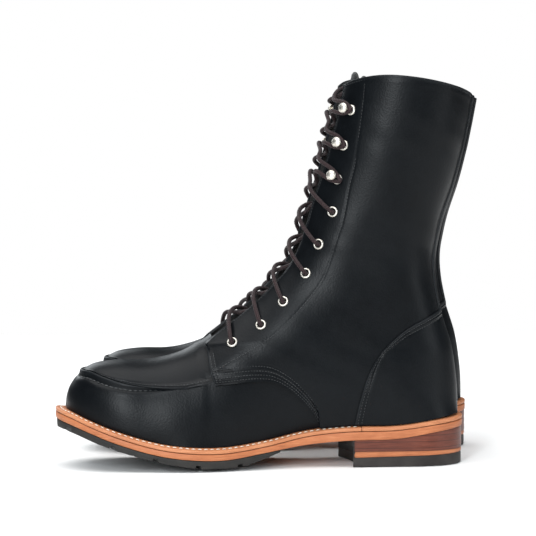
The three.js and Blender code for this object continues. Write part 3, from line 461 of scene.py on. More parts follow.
def place_of(tree, scale=(1, 1, 1), uv=False):
    """Object places, or the UV map, stretched by scale."""
    source = node(tree, "ShaderNodeTexCoord").outputs["UV" if uv else "Object"]
    mapping = node(tree, "ShaderNodeMapping")
    mapping.inputs["Scale"].default_value = scale
    tree.links.new(source, mapping.inputs["Vector"])
    return mapping.outputs["Vector"]


def noise(tree, place, scale, detail=3.0, roughness=0.55):
    """A cloudy value from 0 to 1 whose patches are about a metre over the scale."""
    new = node(tree, "ShaderNodeTexNoise", Scale=scale, Detail=detail, Roughness=roughness)
    tree.links.new(place, new.inputs["Vector"])
    return new.outputs["Fac"]


def ramp(tree, value, stops):
    """Colours at places from 0 to 1, blended between."""
    new = node(tree, "ShaderNodeValToRGB")
    elements = new.color_ramp.elements
    while len(elements) < len(stops):
        elements.new(0.5)
    for element, (at, colour) in zip(elements, stops):
        element.position, element.color = at, (*colour, 1)
    tree.links.new(value, new.inputs["Fac"])
    return new.outputs["Color"]


def maths(tree, operation, a, b):
    """One sum on two values, each a number or an output."""
    new = node(tree, "ShaderNodeMath", operation=operation)
    for value, socket in ((a, new.inputs[0]), (b, new.inputs[1])):
        if isinstance(value, (int, float)):
            socket.default_value = value
        else:
            tree.links.new(value, socket)
    return new.outputs[0]


def blend_colours(tree, share, a, b):
    """Colour a where the share is 0 and b where it is 1."""
    new = node(tree, "ShaderNodeMix", data_type="RGBA", blend_type="MIX")
    for value, socket in ((share, new.inputs[0]), (a, new.inputs[6]), (b, new.inputs[7])):
        if isinstance(value, (int, float)):
            socket.default_value = value
        elif isinstance(value, tuple):
            socket.default_value = (*value, 1)
        else:
            tree.links.new(value, socket)
    return new.outputs[2]


def bumps(tree, shader, layers):
    """Heights (value, strength, distance in metres) laid one over another."""
    last_normal = None
    for value, strength, distance in layers:
        new = node(tree, "ShaderNodeBump", Strength=strength, Distance=distance)
        tree.links.new(value, new.inputs["Height"])
        if last_normal is not None:
            tree.links.new(last_normal, new.inputs["Normal"])
        last_normal = new.outputs["Normal"]
    tree.links.new(last_normal, shader.inputs["Normal"])


def attribute(tree, name):
    """A number that finish_piece kept at the mesh's points."""
    return node(tree, "ShaderNodeAttribute", attribute_name=name).outputs["Fac"]


# %% [markdown]
# The black leather is oiled and smooth. Its colour is almost black with a cool tint, and
# it goes a little greyer where it was handled and along cut edges. The grain has two
# sizes: pores about a millimetre apart and a much finer grit.
# %% Leathers
def leather_finish(name, dark, light, edge, roughness, grain=1.0, sheen=0.0):
    """The tone is 0.7 broad patches and 0.3 middle ones. Where the edge field is high
    the colour turns to the edge's, and the gloss wanders from -0.08 to +0.1."""
    material, tree, shader = fresh(name, roughness, specular=0.14, sheen=sheen)
    place = place_of(tree)
    broad, middle = noise(tree, place, 14, 4), noise(tree, place, 160, 4)
    tone = maths(tree, "ADD", maths(tree, "MULTIPLY", broad, 0.7), maths(tree, "MULTIPLY", middle, 0.3))
    colour = ramp(tree, tone, [(0.3, dark), (0.72, light)])
    worn = maths(tree, "MULTIPLY", attribute(tree, "edge"), maths(tree, "ADD", middle, 0.2))
    colour = blend_colours(tree, worn, colour, edge)
    tree.links.new(colour, shader.inputs["Base Color"])
    gloss = node(tree, "ShaderNodeMapRange")
    gloss.inputs["To Min"].default_value = roughness - 0.08
    gloss.inputs["To Max"].default_value = roughness + 0.1
    half_each = maths(tree, "MULTIPLY", broad, 0.5), maths(tree, "MULTIPLY", middle, 0.5)
    tree.links.new(maths(tree, "ADD", *half_each), gloss.inputs["Value"])
    tree.links.new(gloss.outputs["Result"], shader.inputs["Roughness"])
    pores = node(tree, "ShaderNodeTexVoronoi", feature="SMOOTH_F1", Scale=820.0, Smoothness=0.6)
    tree.links.new(place, pores.inputs["Vector"])
    creases = noise(tree, place_of(tree, (1, 1, 0.35)), 95, 5, 0.6)
    bumps(tree, shader, [(creases, 0.16 * grain, 0.0012), (pores.outputs["Distance"], 0.32 * grain, 0.00035),
                         (noise(tree, place, 2600, 2), 0.18 * grain, 0.00012)])
    return material


BLACK_LEATHER = leather_finish("black_oiled_leather", (0.0014, 0.0020, 0.0028), (0.0036, 0.0048, 0.0062),
                               (0.014, 0.016, 0.018), 0.37, grain=0.6)
TONGUE_LEATHER = leather_finish("soft_tongue_leather", (0.006, 0.0065, 0.007), (0.012, 0.013, 0.014),
                                (0.06, 0.06, 0.058), 0.58, grain=1.4)
LINING = leather_finish("shaft_lining", (0.030, 0.028, 0.026), (0.050, 0.047, 0.043),
                        (0.07, 0.065, 0.06), 0.72, grain=0.8, sheen=0.15)
print("leathers", [m.name for m in (BLACK_LEATHER, TONGUE_LEATHER, LINING)])

# %% [markdown]
# Welt, midsole and heel are vegetable-tanned leather seen on their trimmed and waxed
# edge, where the fibres lie in fine level streaks. Stacked lifts repeat that in layers,
# darker at each glue line. The streaks come from a noise that is squeezed in height. The
# heel's front wall lies in shade under the arch, and that shade is painted on: it turns
# near black where the edge field is above its worn value of 1.
# %% Edge leathers, cork and insole
# Painted shade: the hollow heel breast, in shadow under the arch, gets this high edge value and is coloured
# near black.
BREAST_SHADE, SHADE_FROM = 2.2, 1.3


def trimmed_edge(name, stops, roughness, streak=1.0, lift=None):
    """The tone is 0.62 streaks and 0.38 blotches. lift is (metres from one glue line to
    the next, colour of the line), and the line is where a zigzag in height is low."""
    material, tree, shader = fresh(name, roughness, specular=0.3, coat=0.06, coat_roughness=0.35)
    streaks = noise(tree, place_of(tree, (1, 1, 16)), 70, 6, 0.62)
    blotch = noise(tree, place_of(tree), 45, 4)
    tone = maths(tree, "ADD", maths(tree, "MULTIPLY", streaks, 0.62), maths(tree, "MULTIPLY", blotch, 0.38))
    colour = ramp(tree, tone, stops)
    if lift is not None:
        pitch, colour_of_line = lift
        split = node(tree, "ShaderNodeSeparateXYZ")
        tree.links.new(place_of(tree), split.inputs[0])
        wave = maths(tree, "PINGPONG", maths(tree, "MULTIPLY", split.outputs["Z"], 1 / pitch), 0.5)
        uneven = maths(tree, "ADD", wave, maths(tree, "MULTIPLY", blotch, 0.05))
        line = maths(tree, "LESS_THAN", uneven, 0.09)
        colour = blend_colours(tree, maths(tree, "MULTIPLY", line, 0.75), colour, colour_of_line)
    rubbed = maths(tree, "MULTIPLY", attribute(tree, "edge"), 0.4)
    colour = blend_colours(tree, rubbed, colour, tuple(c * 0.6 for c in stops[0][1]))
    # Painted shade: above this edge value, on the hollow heel breast, the colour turns near black.
    breast_shade = maths(tree, "GREATER_THAN", attribute(tree, "edge"), SHADE_FROM)
    colour = blend_colours(tree, breast_shade, colour, (0.012, 0.010, 0.009))
    tree.links.new(colour, shader.inputs["Base Color"])
    fibres = noise(tree, place_of(tree, (1, 1, 7)), 900, 3)
    bumps(tree, shader, [(streaks, 0.22 * streak, 0.0007), (fibres, 0.25 * streak, 0.00022)])
    return material


TAN_EDGE = trimmed_edge("tan_waxed_edge", [(0.28, (0.27, 0.082, 0.031)), (0.5, (0.42, 0.140, 0.055)),
                                           (0.74, (0.56, 0.22, 0.098))], 0.5)
WELT_EDGE = trimmed_edge("tan_welt", [(0.28, (0.33, 0.115, 0.048)), (0.5, (0.47, 0.180, 0.080)),
                                      (0.74, (0.60, 0.27, 0.130))], 0.52)
STACK_EDGE = trimmed_edge("stacked_heel_leather",
                          [(0.25, (0.070, 0.017, 0.010)), (0.52, (0.125, 0.033, 0.019)),
                           (0.78, (0.205, 0.062, 0.036))], 0.4, lift=(0.0046, (0.05, 0.014, 0.009)))
INSOLE = leather_finish("insole_leather", (0.30, 0.17, 0.085), (0.50, 0.32, 0.18), (0.55, 0.38, 0.22), 0.7)
CORK = trimmed_edge("cork_filler", [(0.3, (0.14, 0.075, 0.035)), (0.7, (0.36, 0.21, 0.10))], 0.85)
print("edge leathers", [m.name for m in (TAN_EDGE, WELT_EDGE, STACK_EDGE, INSOLE, CORK)])


# %% [markdown]
# Rubber is matt and nearly black, with dust in its fine texture. The hooks and eyelets
# are brass under an aged nickel plate, a little warm and softly scratched. Thread is
# twisted: its bump is a slanting wave along the stitch. The lace is a round waxed braid,
# and its strands are two crossed waves on the UV map, whose u runs along the cord.
# %% Rubber, metal, thread and lace
def rubber_finish(name, dark, light, roughness):
    """Dust goes from dark to light, and lies over a fine grit."""
    material, tree, shader = fresh(name, roughness, specular=0.25)
    place = place_of(tree)
    dust = noise(tree, place, 60, 6, 0.65)
    tree.links.new(ramp(tree, dust, [(0.35, dark), (0.75, light)]), shader.inputs["Base Color"])
    bumps(tree, shader, [(noise(tree, place, 1400, 3), 0.35, 0.0003), (dust, 0.15, 0.0006)])
    return material


def plated_metal(name):
    """The plate's colour and its gloss, from 0.34 to 0.55, follow one aged pattern."""
    material, tree, shader = fresh(name, 0.42, metallic=1.0)
    place = place_of(tree)
    aged = noise(tree, place, 420, 5, 0.6)
    tree.links.new(ramp(tree, aged, [(0.3, (0.60, 0.56, 0.49)), (0.6, (0.80, 0.765, 0.70))]),
                   shader.inputs["Base Color"])
    gloss = node(tree, "ShaderNodeMapRange")
    gloss.inputs["To Min"].default_value = 0.34
    gloss.inputs["To Max"].default_value = 0.55
    tree.links.new(aged, gloss.inputs["Value"])
    tree.links.new(gloss.outputs["Result"], shader.inputs["Roughness"])
    bumps(tree, shader, [(noise(tree, place_of(tree, (1, 1, 4)), 1500, 2), 0.12, 0.0001)])
    return material


def thread_finish(name, dark, light, roughness=0.6):
    """A fine noise for the colour, and a slanting wave for the twist."""
    material, tree, shader = fresh(name, roughness, sheen=0.2)
    place = place_of(tree, (1, 0.4, 1))
    twist = node(tree, "ShaderNodeTexWave", wave_type="BANDS", bands_direction="DIAGONAL", Scale=620.0,
                 Distortion=1.5)
    tree.links.new(place, twist.inputs["Vector"])
    tone = noise(tree, place, 300, 3)
    tree.links.new(ramp(tree, tone, [(0.3, dark), (0.7, light)]), shader.inputs["Base Color"])
    bumps(tree, shader, [(twist.outputs["Fac"], 0.5, 0.0002)])
    return material


def lace_finish(name):
    """Two zigzags slant across the UV map, one each way. The higher of them is the strand on top, and it has
    0.55 of the tone, with 0.45 of fleck. The strand part is painted shade and highlight: hollows between
    strands darker, crests lighter."""
    material, tree, shader = fresh(name, 0.6, specular=0.25, sheen=0.06)
    waves = []
    for slant in (1.0, -1.0):
        split = node(tree, "ShaderNodeSeparateXYZ")
        tree.links.new(place_of(tree, uv=True), split.inputs[0])
        along = maths(tree, "ADD", maths(tree, "MULTIPLY", split.outputs["X"], 0.55),
                      maths(tree, "MULTIPLY", split.outputs["Y"], 4.0 * slant))
        waves.append(maths(tree, "PINGPONG", along, 0.5))
    strands = maths(tree, "MULTIPLY", maths(tree, "MAXIMUM", waves[0], waves[1]), 2.0)
    fleck = noise(tree, place_of(tree), 700, 3)
    tone = maths(tree, "ADD", maths(tree, "MULTIPLY", strands, 0.55), maths(tree, "MULTIPLY", fleck, 0.45))
    # The fleck is the braid's own colour. The strands' share is painted shade in the grooves and a painted
    # highlight on the crests.
    tree.links.new(ramp(tree, tone, [(0.3, (0.004, 0.002, 0.0025)), (0.6, (0.017, 0.007, 0.008)),
                                     (0.85, (0.042, 0.020, 0.021))]), shader.inputs["Base Color"])
    bumps(tree, shader, [(strands, 0.6, 0.0004), (fleck, 0.2, 0.0002)])
    return material


FOREFOOT_RUBBER = rubber_finish("forefoot_rubber", (0.014, 0.0135, 0.013), (0.032, 0.029, 0.026), 0.62)
HEEL_RUBBER = rubber_finish("heel_rubber", (0.020, 0.017, 0.016), (0.042, 0.037, 0.034), 0.58)
NICKEL = plated_metal("aged_nickel")
BLACK_THREAD = thread_finish("black_thread", (0.004, 0.005, 0.006), (0.014, 0.016, 0.018), 0.45)
CREAM_THREAD = thread_finish("cream_thread", (0.62, 0.56, 0.46), (0.86, 0.82, 0.74))
LACE_BRAID = lace_finish("waxed_braid")
print("hard finishes and threads ready")

# %% [markdown]
# ## Laces
# A lace is a round cord of fixed length. It starts at the bar between the two lowest
# eyelets, comes up through each eyelet, crosses the tongue, and higher up it is turned
# round the speed hooks instead. Its ends are tucked under the facings. The route is the
# solid model's: places on the last, each with its height over the leather. One smooth
# curve runs through them, and a circle is carried along it.
# %% Where the lace goes
GAP, LACE_R, FACING_HALF_GAP = 0.3, 1.6, 15.5
HOOK_NECK_R, HOOK_NECK_X, HOOK_WRAP = 1.5, -3.8, 0.9
EYELETS = [(-29, 92), (-8, 105), (9, 122), (26, 143), (36, 165), (46, 189)]
HOOKS = [(50, 213), (55, 238), (60.5, 264)]
BARREL_END = -1.6
FACE = LAP_GAP + LEATHER
OVER_SLACK, CROSSING_SLACK = 0.6, 1.8
BASE_SEAT, BASE_RIM, BASE_CLEAR = 0.3, 0.7, 0.6
LACE_OVER = FACE + GAP + LACE_R + OVER_SLACK
LACE_UNDER = BARREL_END - GAP - LACE_R
LACE_CROSS_HIGH = LACE_UNDER + 2 * LACE_R + CROSSING_SLACK
LACE_HOOKED = FACE + BASE_SEAT + BASE_RIM + BASE_CLEAR + LACE_R
CREST_STEPS = 40
CREST_T = np.arange(LAST_STATION * CREST_STEPS + 1) / CREST_STEPS
crest_walk = np.hypot(np.diff(crest_x(CREST_T)), np.diff(crest_z(CREST_T)))
CREST_LENGTH = np.concatenate([[0], np.cumsum(crest_walk)])


def shifted(t, distance):
    """The station a distance in mm further up the crest."""
    return np.interp(np.interp(t, CREST_T, CREST_LENGTH) + distance, CREST_LENGTH, CREST_T)


def facing_frame(place, side):
    """A place on the facing: its point, and directions out of the leather, away from
    the opening, and up towards the collar (their cross product)."""
    point, out = last(place[0], place[1], side)
    t, _ = station(np.array(float(place[0])), np.array(float(place[1])))
    cx, cz, bx, bz = section_line(t)
    away = np.array([bx - cx, 0, bz - cz])
    away /= np.linalg.norm(away)
    away -= away @ out * out
    away /= np.linalg.norm(away)
    return point, away, np.cross(out, away), out


def eyelet_at(k, side):
    """Station of an eyelet and its distance from the centre plane."""
    x, z = (np.array(float(v)) for v in EYELETS[k])
    return float(station(x, z)[0]), float(np.sqrt(squared_at(x, z, side)))


def hook_at(k, side):
    """Station of a hook's neck, round which the lace turns, and its distance from the
    centre plane."""
    point, away, _, _ = facing_frame(HOOKS[k], side)
    neck = point + away * HOOK_NECK_X
    return float(station(neck[0], neck[2])[0]), abs(float(neck[1]))


def lace_half(side, high):
    """Stations, distances from the centre plane and heights of one half of the lace."""
    edge, places = FACING_HALF_GAP, []
    put = lambda t, y, height: places.append((t, y, height))
    put(eyelet_at(0, side)[0], side * (edge - 2), LACE_UNDER)
    for k in range(len(EYELETS)):
        t, y = eyelet_at(k, side)
        final = k + 1 == len(EYELETS)
        put(t, side * (y - 0.4), LACE_UNDER)
        put(t, side * (y - 0.3), LACE_OVER + 0.5)
        to = shifted(hook_at(0, -side)[0], -2.9) if final else eyelet_at(k + 1, -side)[0]
        put(t + (to - t) * 0.2, side * (edge - 1), LACE_OVER)
        put(t + (to - t) * 0.5, 0.0, LACE_CROSS_HIGH if high else LACE_UNDER)
        if not final:
            put(t + (to - t) * 0.84, -side * (edge - 1), LACE_UNDER)
        side, high = -side, not high
    for k in range(len(HOOKS)):
        t, y = hook_at(k, side)
        turn = HOOK_NECK_R + LACE_R + HOOK_WRAP
        above = shifted(t, turn - 0.6)
        put(shifted(t, -0.4 - turn), side * (edge - 2.5), LACE_OVER + 0.2)
        put(shifted(t, 0.6 - turn), side * (y + 0.3), LACE_HOOKED)
        put(t, side * (y + turn), LACE_HOOKED)
        put(above, side * (y + 0.3), LACE_HOOKED)
        put(shifted(t, turn + 0.6), side * (edge - 2.5), LACE_OVER + 0.2)
        to = shifted(t, 21) if k + 1 == len(HOOKS) else shifted(hook_at(k + 1, -side)[0], -3.2)
        put(above + (to - above) * 0.5, 0.0, LACE_CROSS_HIGH if high else LACE_UNDER + 0.2)
        side, high = -side, not high
    t = hook_at(len(HOOKS) - 1, side)[0]
    put(shifted(t, 17), side * (edge + 1), LACE_UNDER)
    put(shifted(t, 18.5), side * (edge + 8), LACE_UNDER)
    return places


def flowing(points, spacing):
    """One curve through points, by cubics whose tangents allow for uneven distances
    (the square roots of the gaps are the steps), read again at an even spacing."""
    p = np.concatenate([[2 * points[0] - points[1]], points, [2 * points[-1] - points[-2]]])
    d = np.linalg.norm(np.diff(p, axis=0), axis=1)[:, None] ** 0.5
    a, b, c = d[:-2], d[1:-1], d[2:]
    p0, p1, p2, p3 = p[:-3], p[1:-2], p[2:-1], p[3:]
    start = ((p1 - p0) / a - (p2 - p0) / (a + b) + (p2 - p1) / b) * b
    end = ((p2 - p1) / b - (p3 - p1) / (b + c) + (p3 - p2) / c) * b
    u = np.linspace(0, 1, 24, endpoint=False)[:, None, None]
    line = (p1 * (2 * u**3 - 3 * u**2 + 1) + p2 * (3 * u**2 - 2 * u**3)
            + start * (u**3 - 2 * u**2 + u) + end * (u**3 - u**2))
    line = np.concatenate([line.transpose(1, 0, 2).reshape(-1, 3), points[-1:]])
    length = np.concatenate([[0], np.cumsum(np.linalg.norm(np.diff(line, axis=0), axis=1))])
    at = np.linspace(0, length[-1], int(length[-1] / spacing) + 1)
    return np.stack([np.interp(at, length, line[:, k]) for k in range(3)], 1), at


bar = (eyelet_at(0, 1)[0], 0.0, LACE_UNDER)
halves = np.array(lace_half(1, False)[::-1] + [bar] + lace_half(-1, True))
lace_base, lace_out = over_top(halves[:, 0], halves[:, 1])
lace_points = lace_base + lace_out * halves[:, 2:3]
lace_line, lace_at = flowing(lace_points, 0.55)


# %% The lace's round braid
def along_frames(line):
    """Directions across a line: the first is any normal, carried on so that it turns as
    little as it can, and the second is its cross product with the tangent."""
    tangent = np.gradient(line, axis=0)
    tangent /= np.linalg.norm(tangent, axis=1, keepdims=True)
    across = np.empty_like(line)
    across[0] = np.cross(tangent[0], (0.3, 0.9, 0.2))
    for k in range(1, len(line)):
        across[k] = across[k - 1] - tangent[k] * (across[k - 1] @ tangent[k])
        across[k] /= np.linalg.norm(across[k])
    across[0] /= np.linalg.norm(across[0])
    return tangent, across, np.cross(tangent, across)


BRAID_AROUND = 14


def braid(line, at, radius, around=BRAID_AROUND, strands=4, lay=7.0):
    """Rings round the line. The radius swells where either of two crossed screws of
    strands passes: r = 0.96 R (1 + 0.045 max(cos(n a + s), cos(n a - s)))."""
    _, across, third = along_frames(line)
    a = 2 * np.pi * np.arange(around) / around
    screw = 2 * np.pi * at[:, None] / lay * strands / 2
    swell = np.maximum(np.cos(strands * a + screw), np.cos(strands * a - screw))
    r = (radius * 0.96 * (1 + 0.045 * swell))[..., None]
    return line[:, None] + r * (np.cos(a)[:, None] * across[:, None] + np.sin(a)[:, None] * third[:, None])


turn_share = np.arange(BRAID_AROUND) / BRAID_AROUND
lace_uv = np.stack([np.repeat(lace_at, BRAID_AROUND), np.tile(turn_share, len(lace_at))], 1)
for boot in PLACES:
    points, quads = tube(braid(lace_line, lace_at, LACE_R))
    lace = finish_piece(f"{boot}_lace_cord", boot, f"{boot}_boot", points, quads, LACE_BRAID,
                        slot="lace_cord", replaces=[f"{boot}_lace"], uv=lace_uv)

# %% [markdown]
# ## Cutting leather
# A cut of leather is a four-sided patch, seen from the side and laid on the last. Its two
# numbers run from border to border, and the patch blends its four border curves. Points
# bunch up at each cut edge, where the face rounds down over about a millimetre. Heights
# over the last make thickness, and small reliefs sink each seam or raise each ridge.
# %% Patches and cuts
def path(points):
    """A curve through (x, z) points by cubics with a half of the neighbours' difference
    as slope, read at a fraction of its length."""
    p = np.asarray(points, float)
    q = np.concatenate([p[:1], p, p[-1:]])
    p0, p1, p2, p3 = q[:-3], q[1:-2], q[2:-1], q[3:]
    u = np.linspace(0, 1, 60, endpoint=False)[:, None, None]
    line = (p1 * (2 * u**3 - 3 * u**2 + 1) + p2 * (3 * u**2 - 2 * u**3)
            + (p2 - p0) / 2 * (u**3 - 2 * u**2 + u) + (p3 - p1) / 2 * (u**3 - u**2))
    line = np.concatenate([line.transpose(1, 0, 2).reshape(-1, 2), p[-1:]])
    length = np.concatenate([[0], np.cumsum(np.linalg.norm(np.diff(line, axis=0), axis=1))])
    length /= length[-1]
    return lambda u: np.stack([np.interp(u, length, line[:, 0]), np.interp(u, length, line[:, 1])], -1)


def four_sided(bottom, top, front, back):
    """The patch between four curves: bottom and top blended by v, plus front and back
    blended by u, less the four corners blended by both."""
    corner = [bottom(0.0), bottom(1.0), top(0.0), top(1.0)]

    def at(u, v):
        p, q = u[..., None], v[..., None]
        return ((1 - q) * bottom(u) + q * top(u) + (1 - p) * front(v) + p * back(v)
                - ((1 - p) * (1 - q) * corner[0] + p * (1 - q) * corner[1]
                   + (1 - p) * q * corner[2] + p * q * corner[3]))

    return at


def feather(x):
    """The line where upper meets welt."""
    return np.stack([x, rim_z(x) + SOLE_GAP], -1)


UPPER_FRONT, UPPER_BACK = FEATHER_X[0], FEATHER_X[-1]
MOC_SEAM = [(-138.5, 71.3), (-132, 70.6), (-125, 68), (-116, 65), (-105, 62.2), (-92, 60), (-78, 59.2),
            (-62, 60), (-46, 63.5), (-36, 67)]
QUARTER_FRONT = [(-43, 62), (-46.5, 74), (-47, 88), (-45.5, 95)]
QUARTER_LOWER = [(-43, 62), (-29, 63.5), (-14, 65), (0, 64), (12, 58), (23, 48.5), (31, 39), (36, 28.5)]
VAMP_REAR = [(-36, 67), (-10, 76), (14, 71), (33, 58), (48, 30)]
COLLAR = [(56.5, 283), (63, 286.6), (75, 289.4), (88, 290), (104, 288.6), (120, 286), (137, 282),
          (151.5, 277)]
COUNTER_TOP = [(80.5, 85), (88, 92.5), (99, 101.5), (112, 108.5), (126.6, 115)]
COUNTER_FRONT = [(61, 31), (64, 47), (69, 64), (74, 75), (80.5, 85)]


def nose_point(v):
    """The toe on the centre plane, from the feather line up to the apron seam."""
    z = mixed(rim_z(UPPER_FRONT) + SOLE_GAP, MOC_SEAM[0][1], v)
    t = np.linspace(0, 5, 400)
    return np.stack([crest_x(np.interp(z, crest_z(t), t)), z], -1)


def back_point(z):
    """The back line at height z."""
    s = np.linspace(0, len(BACK) - 1, 1200)
    return np.stack([back_x(np.interp(z, back_z(s), s)), z], -1)


def spaced(length, step, start=0.0, end=0.0):
    """Fractions of a length at an even step, and closer over a rounded start or end."""
    even = np.linspace(0, 1, max(3, int(length / step)))
    near = np.array([0, 0.12, 0.35, 0.65, 1.0])
    parts = [even]
    if start:
        parts = [even[even > 1.15 * start / length], near * start / length]
    if end:
        parts = [np.concatenate(parts)]
        parts = [parts[0][parts[0] < 1 - 1.15 * end / length], 1 - near * end / length]
    return np.unique(np.round(np.concatenate(parts), 7))


def there_and_back(a):
    """Fractions on both sides of the centre plane: -1 to 1 from lateral to medial."""
    return np.unique(np.concatenate([-a, a]))


def relaxed(values, share, rounds=110):
    """Where the last's section lines change their kind, its slope jumps. There each
    inner value moves, by its share, towards the mean of its four neighbours."""
    for _ in range(rounds):
        mean = (values[:-2, 1:-1] + values[2:, 1:-1] + values[1:-1, :-2] + values[1:-1, 2:]) / 4
        values[1:-1, 1:-1] += share[1:-1, 1:-1, None] * (mean - values[1:-1, 1:-1])
    return values


def cut(place, u, v, face, under, rounded, closed_back=False):
    """A cut of leather. place gives (x, z, side) for the grid, face and under are the
    heights of its two faces from the distances to its borders, and rounded names the
    cut borders with their radius. closed_back keeps both faces on their own side."""
    big_u, big_v = np.meshgrid(u, v, indexing="ij")
    x, z, side = place(big_u, big_v)
    point, normal = last(x, z, side)
    t = station(x, z)[0]
    share = 0.9 * np.clip(bell(t - CORNER_STATION, 1.2) + bell(t - FOREFOOT_STATION, 1.5), 0, 1)
    point[..., 1:2] = relaxed(point[..., 1:2].copy(), share)
    normal = relaxed(normal.copy(), share)
    normal /= np.linalg.norm(normal, axis=-1, keepdims=True)
    along, across = distance_along(point, 0), distance_along(point, 1)
    far = {"front": along, "back": along[-1:] - along, "bottom": across, "top": across[:, -1:] - across}
    high = face(far, point)
    edge = np.zeros_like(high)
    for name, radius in rounded.items():
        high = high - cut_edge(far[name], radius)
        edge = np.maximum(edge, bell(far[name], 1.6))
    low = under(far, point)
    outer, inner = point + normal * high[..., None], point + normal * low[..., None]
    floor = rim_z(point[..., 0]) + 0.25
    for surface in (outer, inner):
        surface[..., 2] = np.maximum(surface[..., 2], floor)
        if closed_back:
            surface[..., 1] = side * np.maximum(side * surface[..., 1], GAP / 2)
    points, quads = shell(outer, inner)
    worn = np.concatenate([edge.ravel(), edge.ravel() * 0])
    count = outer.shape[0] * outer.shape[1]
    inside = np.all(quads >= count, axis=1)
    return points, quads, worn, inside


def level(height):
    """A face that keeps one height over the last."""
    return lambda far, point: height + 0 * point[..., 0]


def seam(place, borders, inset, samples=500, span=(0.0, 1.0)):
    """A line that runs beside one border of a patch at a distance inside it: on each
    grid line across, the place where the length walked from the border is the inset."""
    a = np.linspace(*span, samples)
    b = np.linspace(0, 1, 90) ** 1.6 * 0.6
    flip = borders in ("top", "back")
    across = 1 - b if flip else b
    big_a, big_b = np.meshgrid(a, across, indexing="ij")
    u, v = (big_a, big_b) if borders in ("top", "bottom") else (big_b, big_a)
    x, z, side = place(u, v)
    walked = distance_along(last(x, z, side)[0], 1)
    k = np.clip((walked < inset).sum(axis=1), 1, walked.shape[1] - 1)[:, None]
    w1, w0 = np.take_along_axis(walked, k, 1), np.take_along_axis(walked, k - 1, 1)
    share = np.clip((inset - w0) / (w1 - w0), 0, 1)[:, 0]
    b_at = mixed(across[k[:, 0] - 1], across[k[:, 0]], share)
    u, v = (a, b_at) if borders in ("top", "bottom") else (b_at, a)
    return last(*place(u, v))


def line_on(points, side, samples=500):
    """A line drawn on the last through (x, z) points."""
    xz = path(points)(np.linspace(0, 1, samples))
    return last(xz[:, 0], xz[:, 1], side)


STITCH_RINGS, STITCH_AROUND = 5, 6
STITCH_QUADS = (STITCH_RINGS - 1) * STITCH_AROUND + 2 * (STITCH_AROUND // 2 - 1)


def stitches(line, height, pitch, length, width, thick, sink=0.35):
    """A row of stitches on a line of (points, normals). Each is a thread of oval
    section along its own straight bit, whose ends bend down into the leather as the
    fourth power of the way out and get thin as the root of 1.04 - 0.75 t^2."""
    point, normal = line
    point = point + normal * height
    walked = distance_along(point[None], 1)[0]
    count = max(1, int(walked[-1] / pitch))
    middle = (np.arange(count) + 0.5) * walked[-1] / count
    read = lambda values, at: np.stack([np.interp(at, walked, values[:, k]) for k in range(3)], -1)
    t = np.linspace(-1, 1, STITCH_RINGS)
    centre = read(point, middle[:, None] + t * length / 2)
    out = read(normal, middle)[:, None]
    out = out / np.linalg.norm(out, axis=-1, keepdims=True)
    ahead = centre[:, -1:] - centre[:, 0:1]
    ahead /= np.linalg.norm(ahead, axis=-1, keepdims=True) + 1e-9
    beside = np.cross(out, ahead)
    centre = centre - out * (sink * thick * t**4)[:, None]
    a = 2 * np.pi * np.arange(STITCH_AROUND) / STITCH_AROUND
    size = np.sqrt(np.clip(1.04 - t**2 * 0.75, 0.05, 1))[:, None]
    ring = (centre[:, :, None] + beside[:, :, None] * (np.cos(a) * size * width / 2)[..., None]
            + out[:, :, None] * (np.sin(a) * size * thick / 2)[..., None])
    one, quads = tube(ring[0])
    points = ring.reshape(-1, 3)
    return points, np.concatenate([quads + k * len(one) for k in range(count)])


def flexing(point):
    """Soft unevenness of the hide in mm, as three slow waves across each other."""
    x, y, z = point[..., 0], point[..., 1], point[..., 2]
    return (0.16 * np.sin(x / 11 + z / 17 + 0.7) + 0.14 * np.sin(z / 9 - x / 23 + y / 15)
            + 0.10 * np.sin((x + z) / 6.5 + np.sin(z / 13) * 2))


print("cutting tools ready")

# %% [markdown]
# ## Vamp and apron
# The vamp is one piece round the toe, and the apron closes its top. At a moc toe the two
# edges stand up against each other and are sewn through, which leaves a ridge. A row of
# bold stitches lies below it on the vamp, each with its own pucker, and a row of fine
# ones above it on the apron. Both are a function of the distance from the seam. A kind of
# stitch is four sizes: pitch, length, width and thickness.
# %% The vamp
moc = path(MOC_SEAM)
vamp_rear = path(VAMP_REAR[::-1])
vamp_patch = four_sided(lambda u: feather(mixed(UPPER_FRONT, VAMP_REAR[-1][0], u)), moc, nose_point,
                        vamp_rear)
bunched = lambda a: 1 - np.cos(np.pi / 2 * np.abs(a))
side_of_a = lambda a: np.where(a < 0, -1, 1)
BOLD_AT, BOLD_PITCH, FINE_AT = 5.2, 3.7, 3.4
BOLD_STITCH, FINE_STITCH = (BOLD_PITCH, 2.9, 0.95, 0.8), (2.3, 1.8, 0.55, 0.5)


def vamp_place(a, v):
    """a runs from the lateral rear border round the toe to the medial one, v up to the
    seam."""
    xz = vamp_patch(bunched(a), v)
    return xz[..., 0], xz[..., 1], side_of_a(a)


def vamp_face(far, point):
    """A ridge of 1.7 mm just inside the seam, a groove along the bold stitches with a
    pucker for each, and the part under the quarter sunk a little."""
    d, along = far["top"], far["front"]
    show = 1 - ease(-53, -46.5, point[..., 0])
    ridge = 1.7 * bell(np.maximum(d - 0.9, 0), 2.2) * ease(-1.3, 0.5, d)
    pucker = 0.5 + 0.5 * np.cos(2 * np.pi * along / BOLD_PITCH)
    groove = -0.42 * bell(d - BOLD_AT, 1.0) - 0.34 * pucker * bell(d - BOLD_AT + 0.9, 1.5)
    return show * (ridge + groove + 0.25 * bell(d - 8.6, 2.4)) - 0.5 * (1 - show) + flexing(point) * 0.8


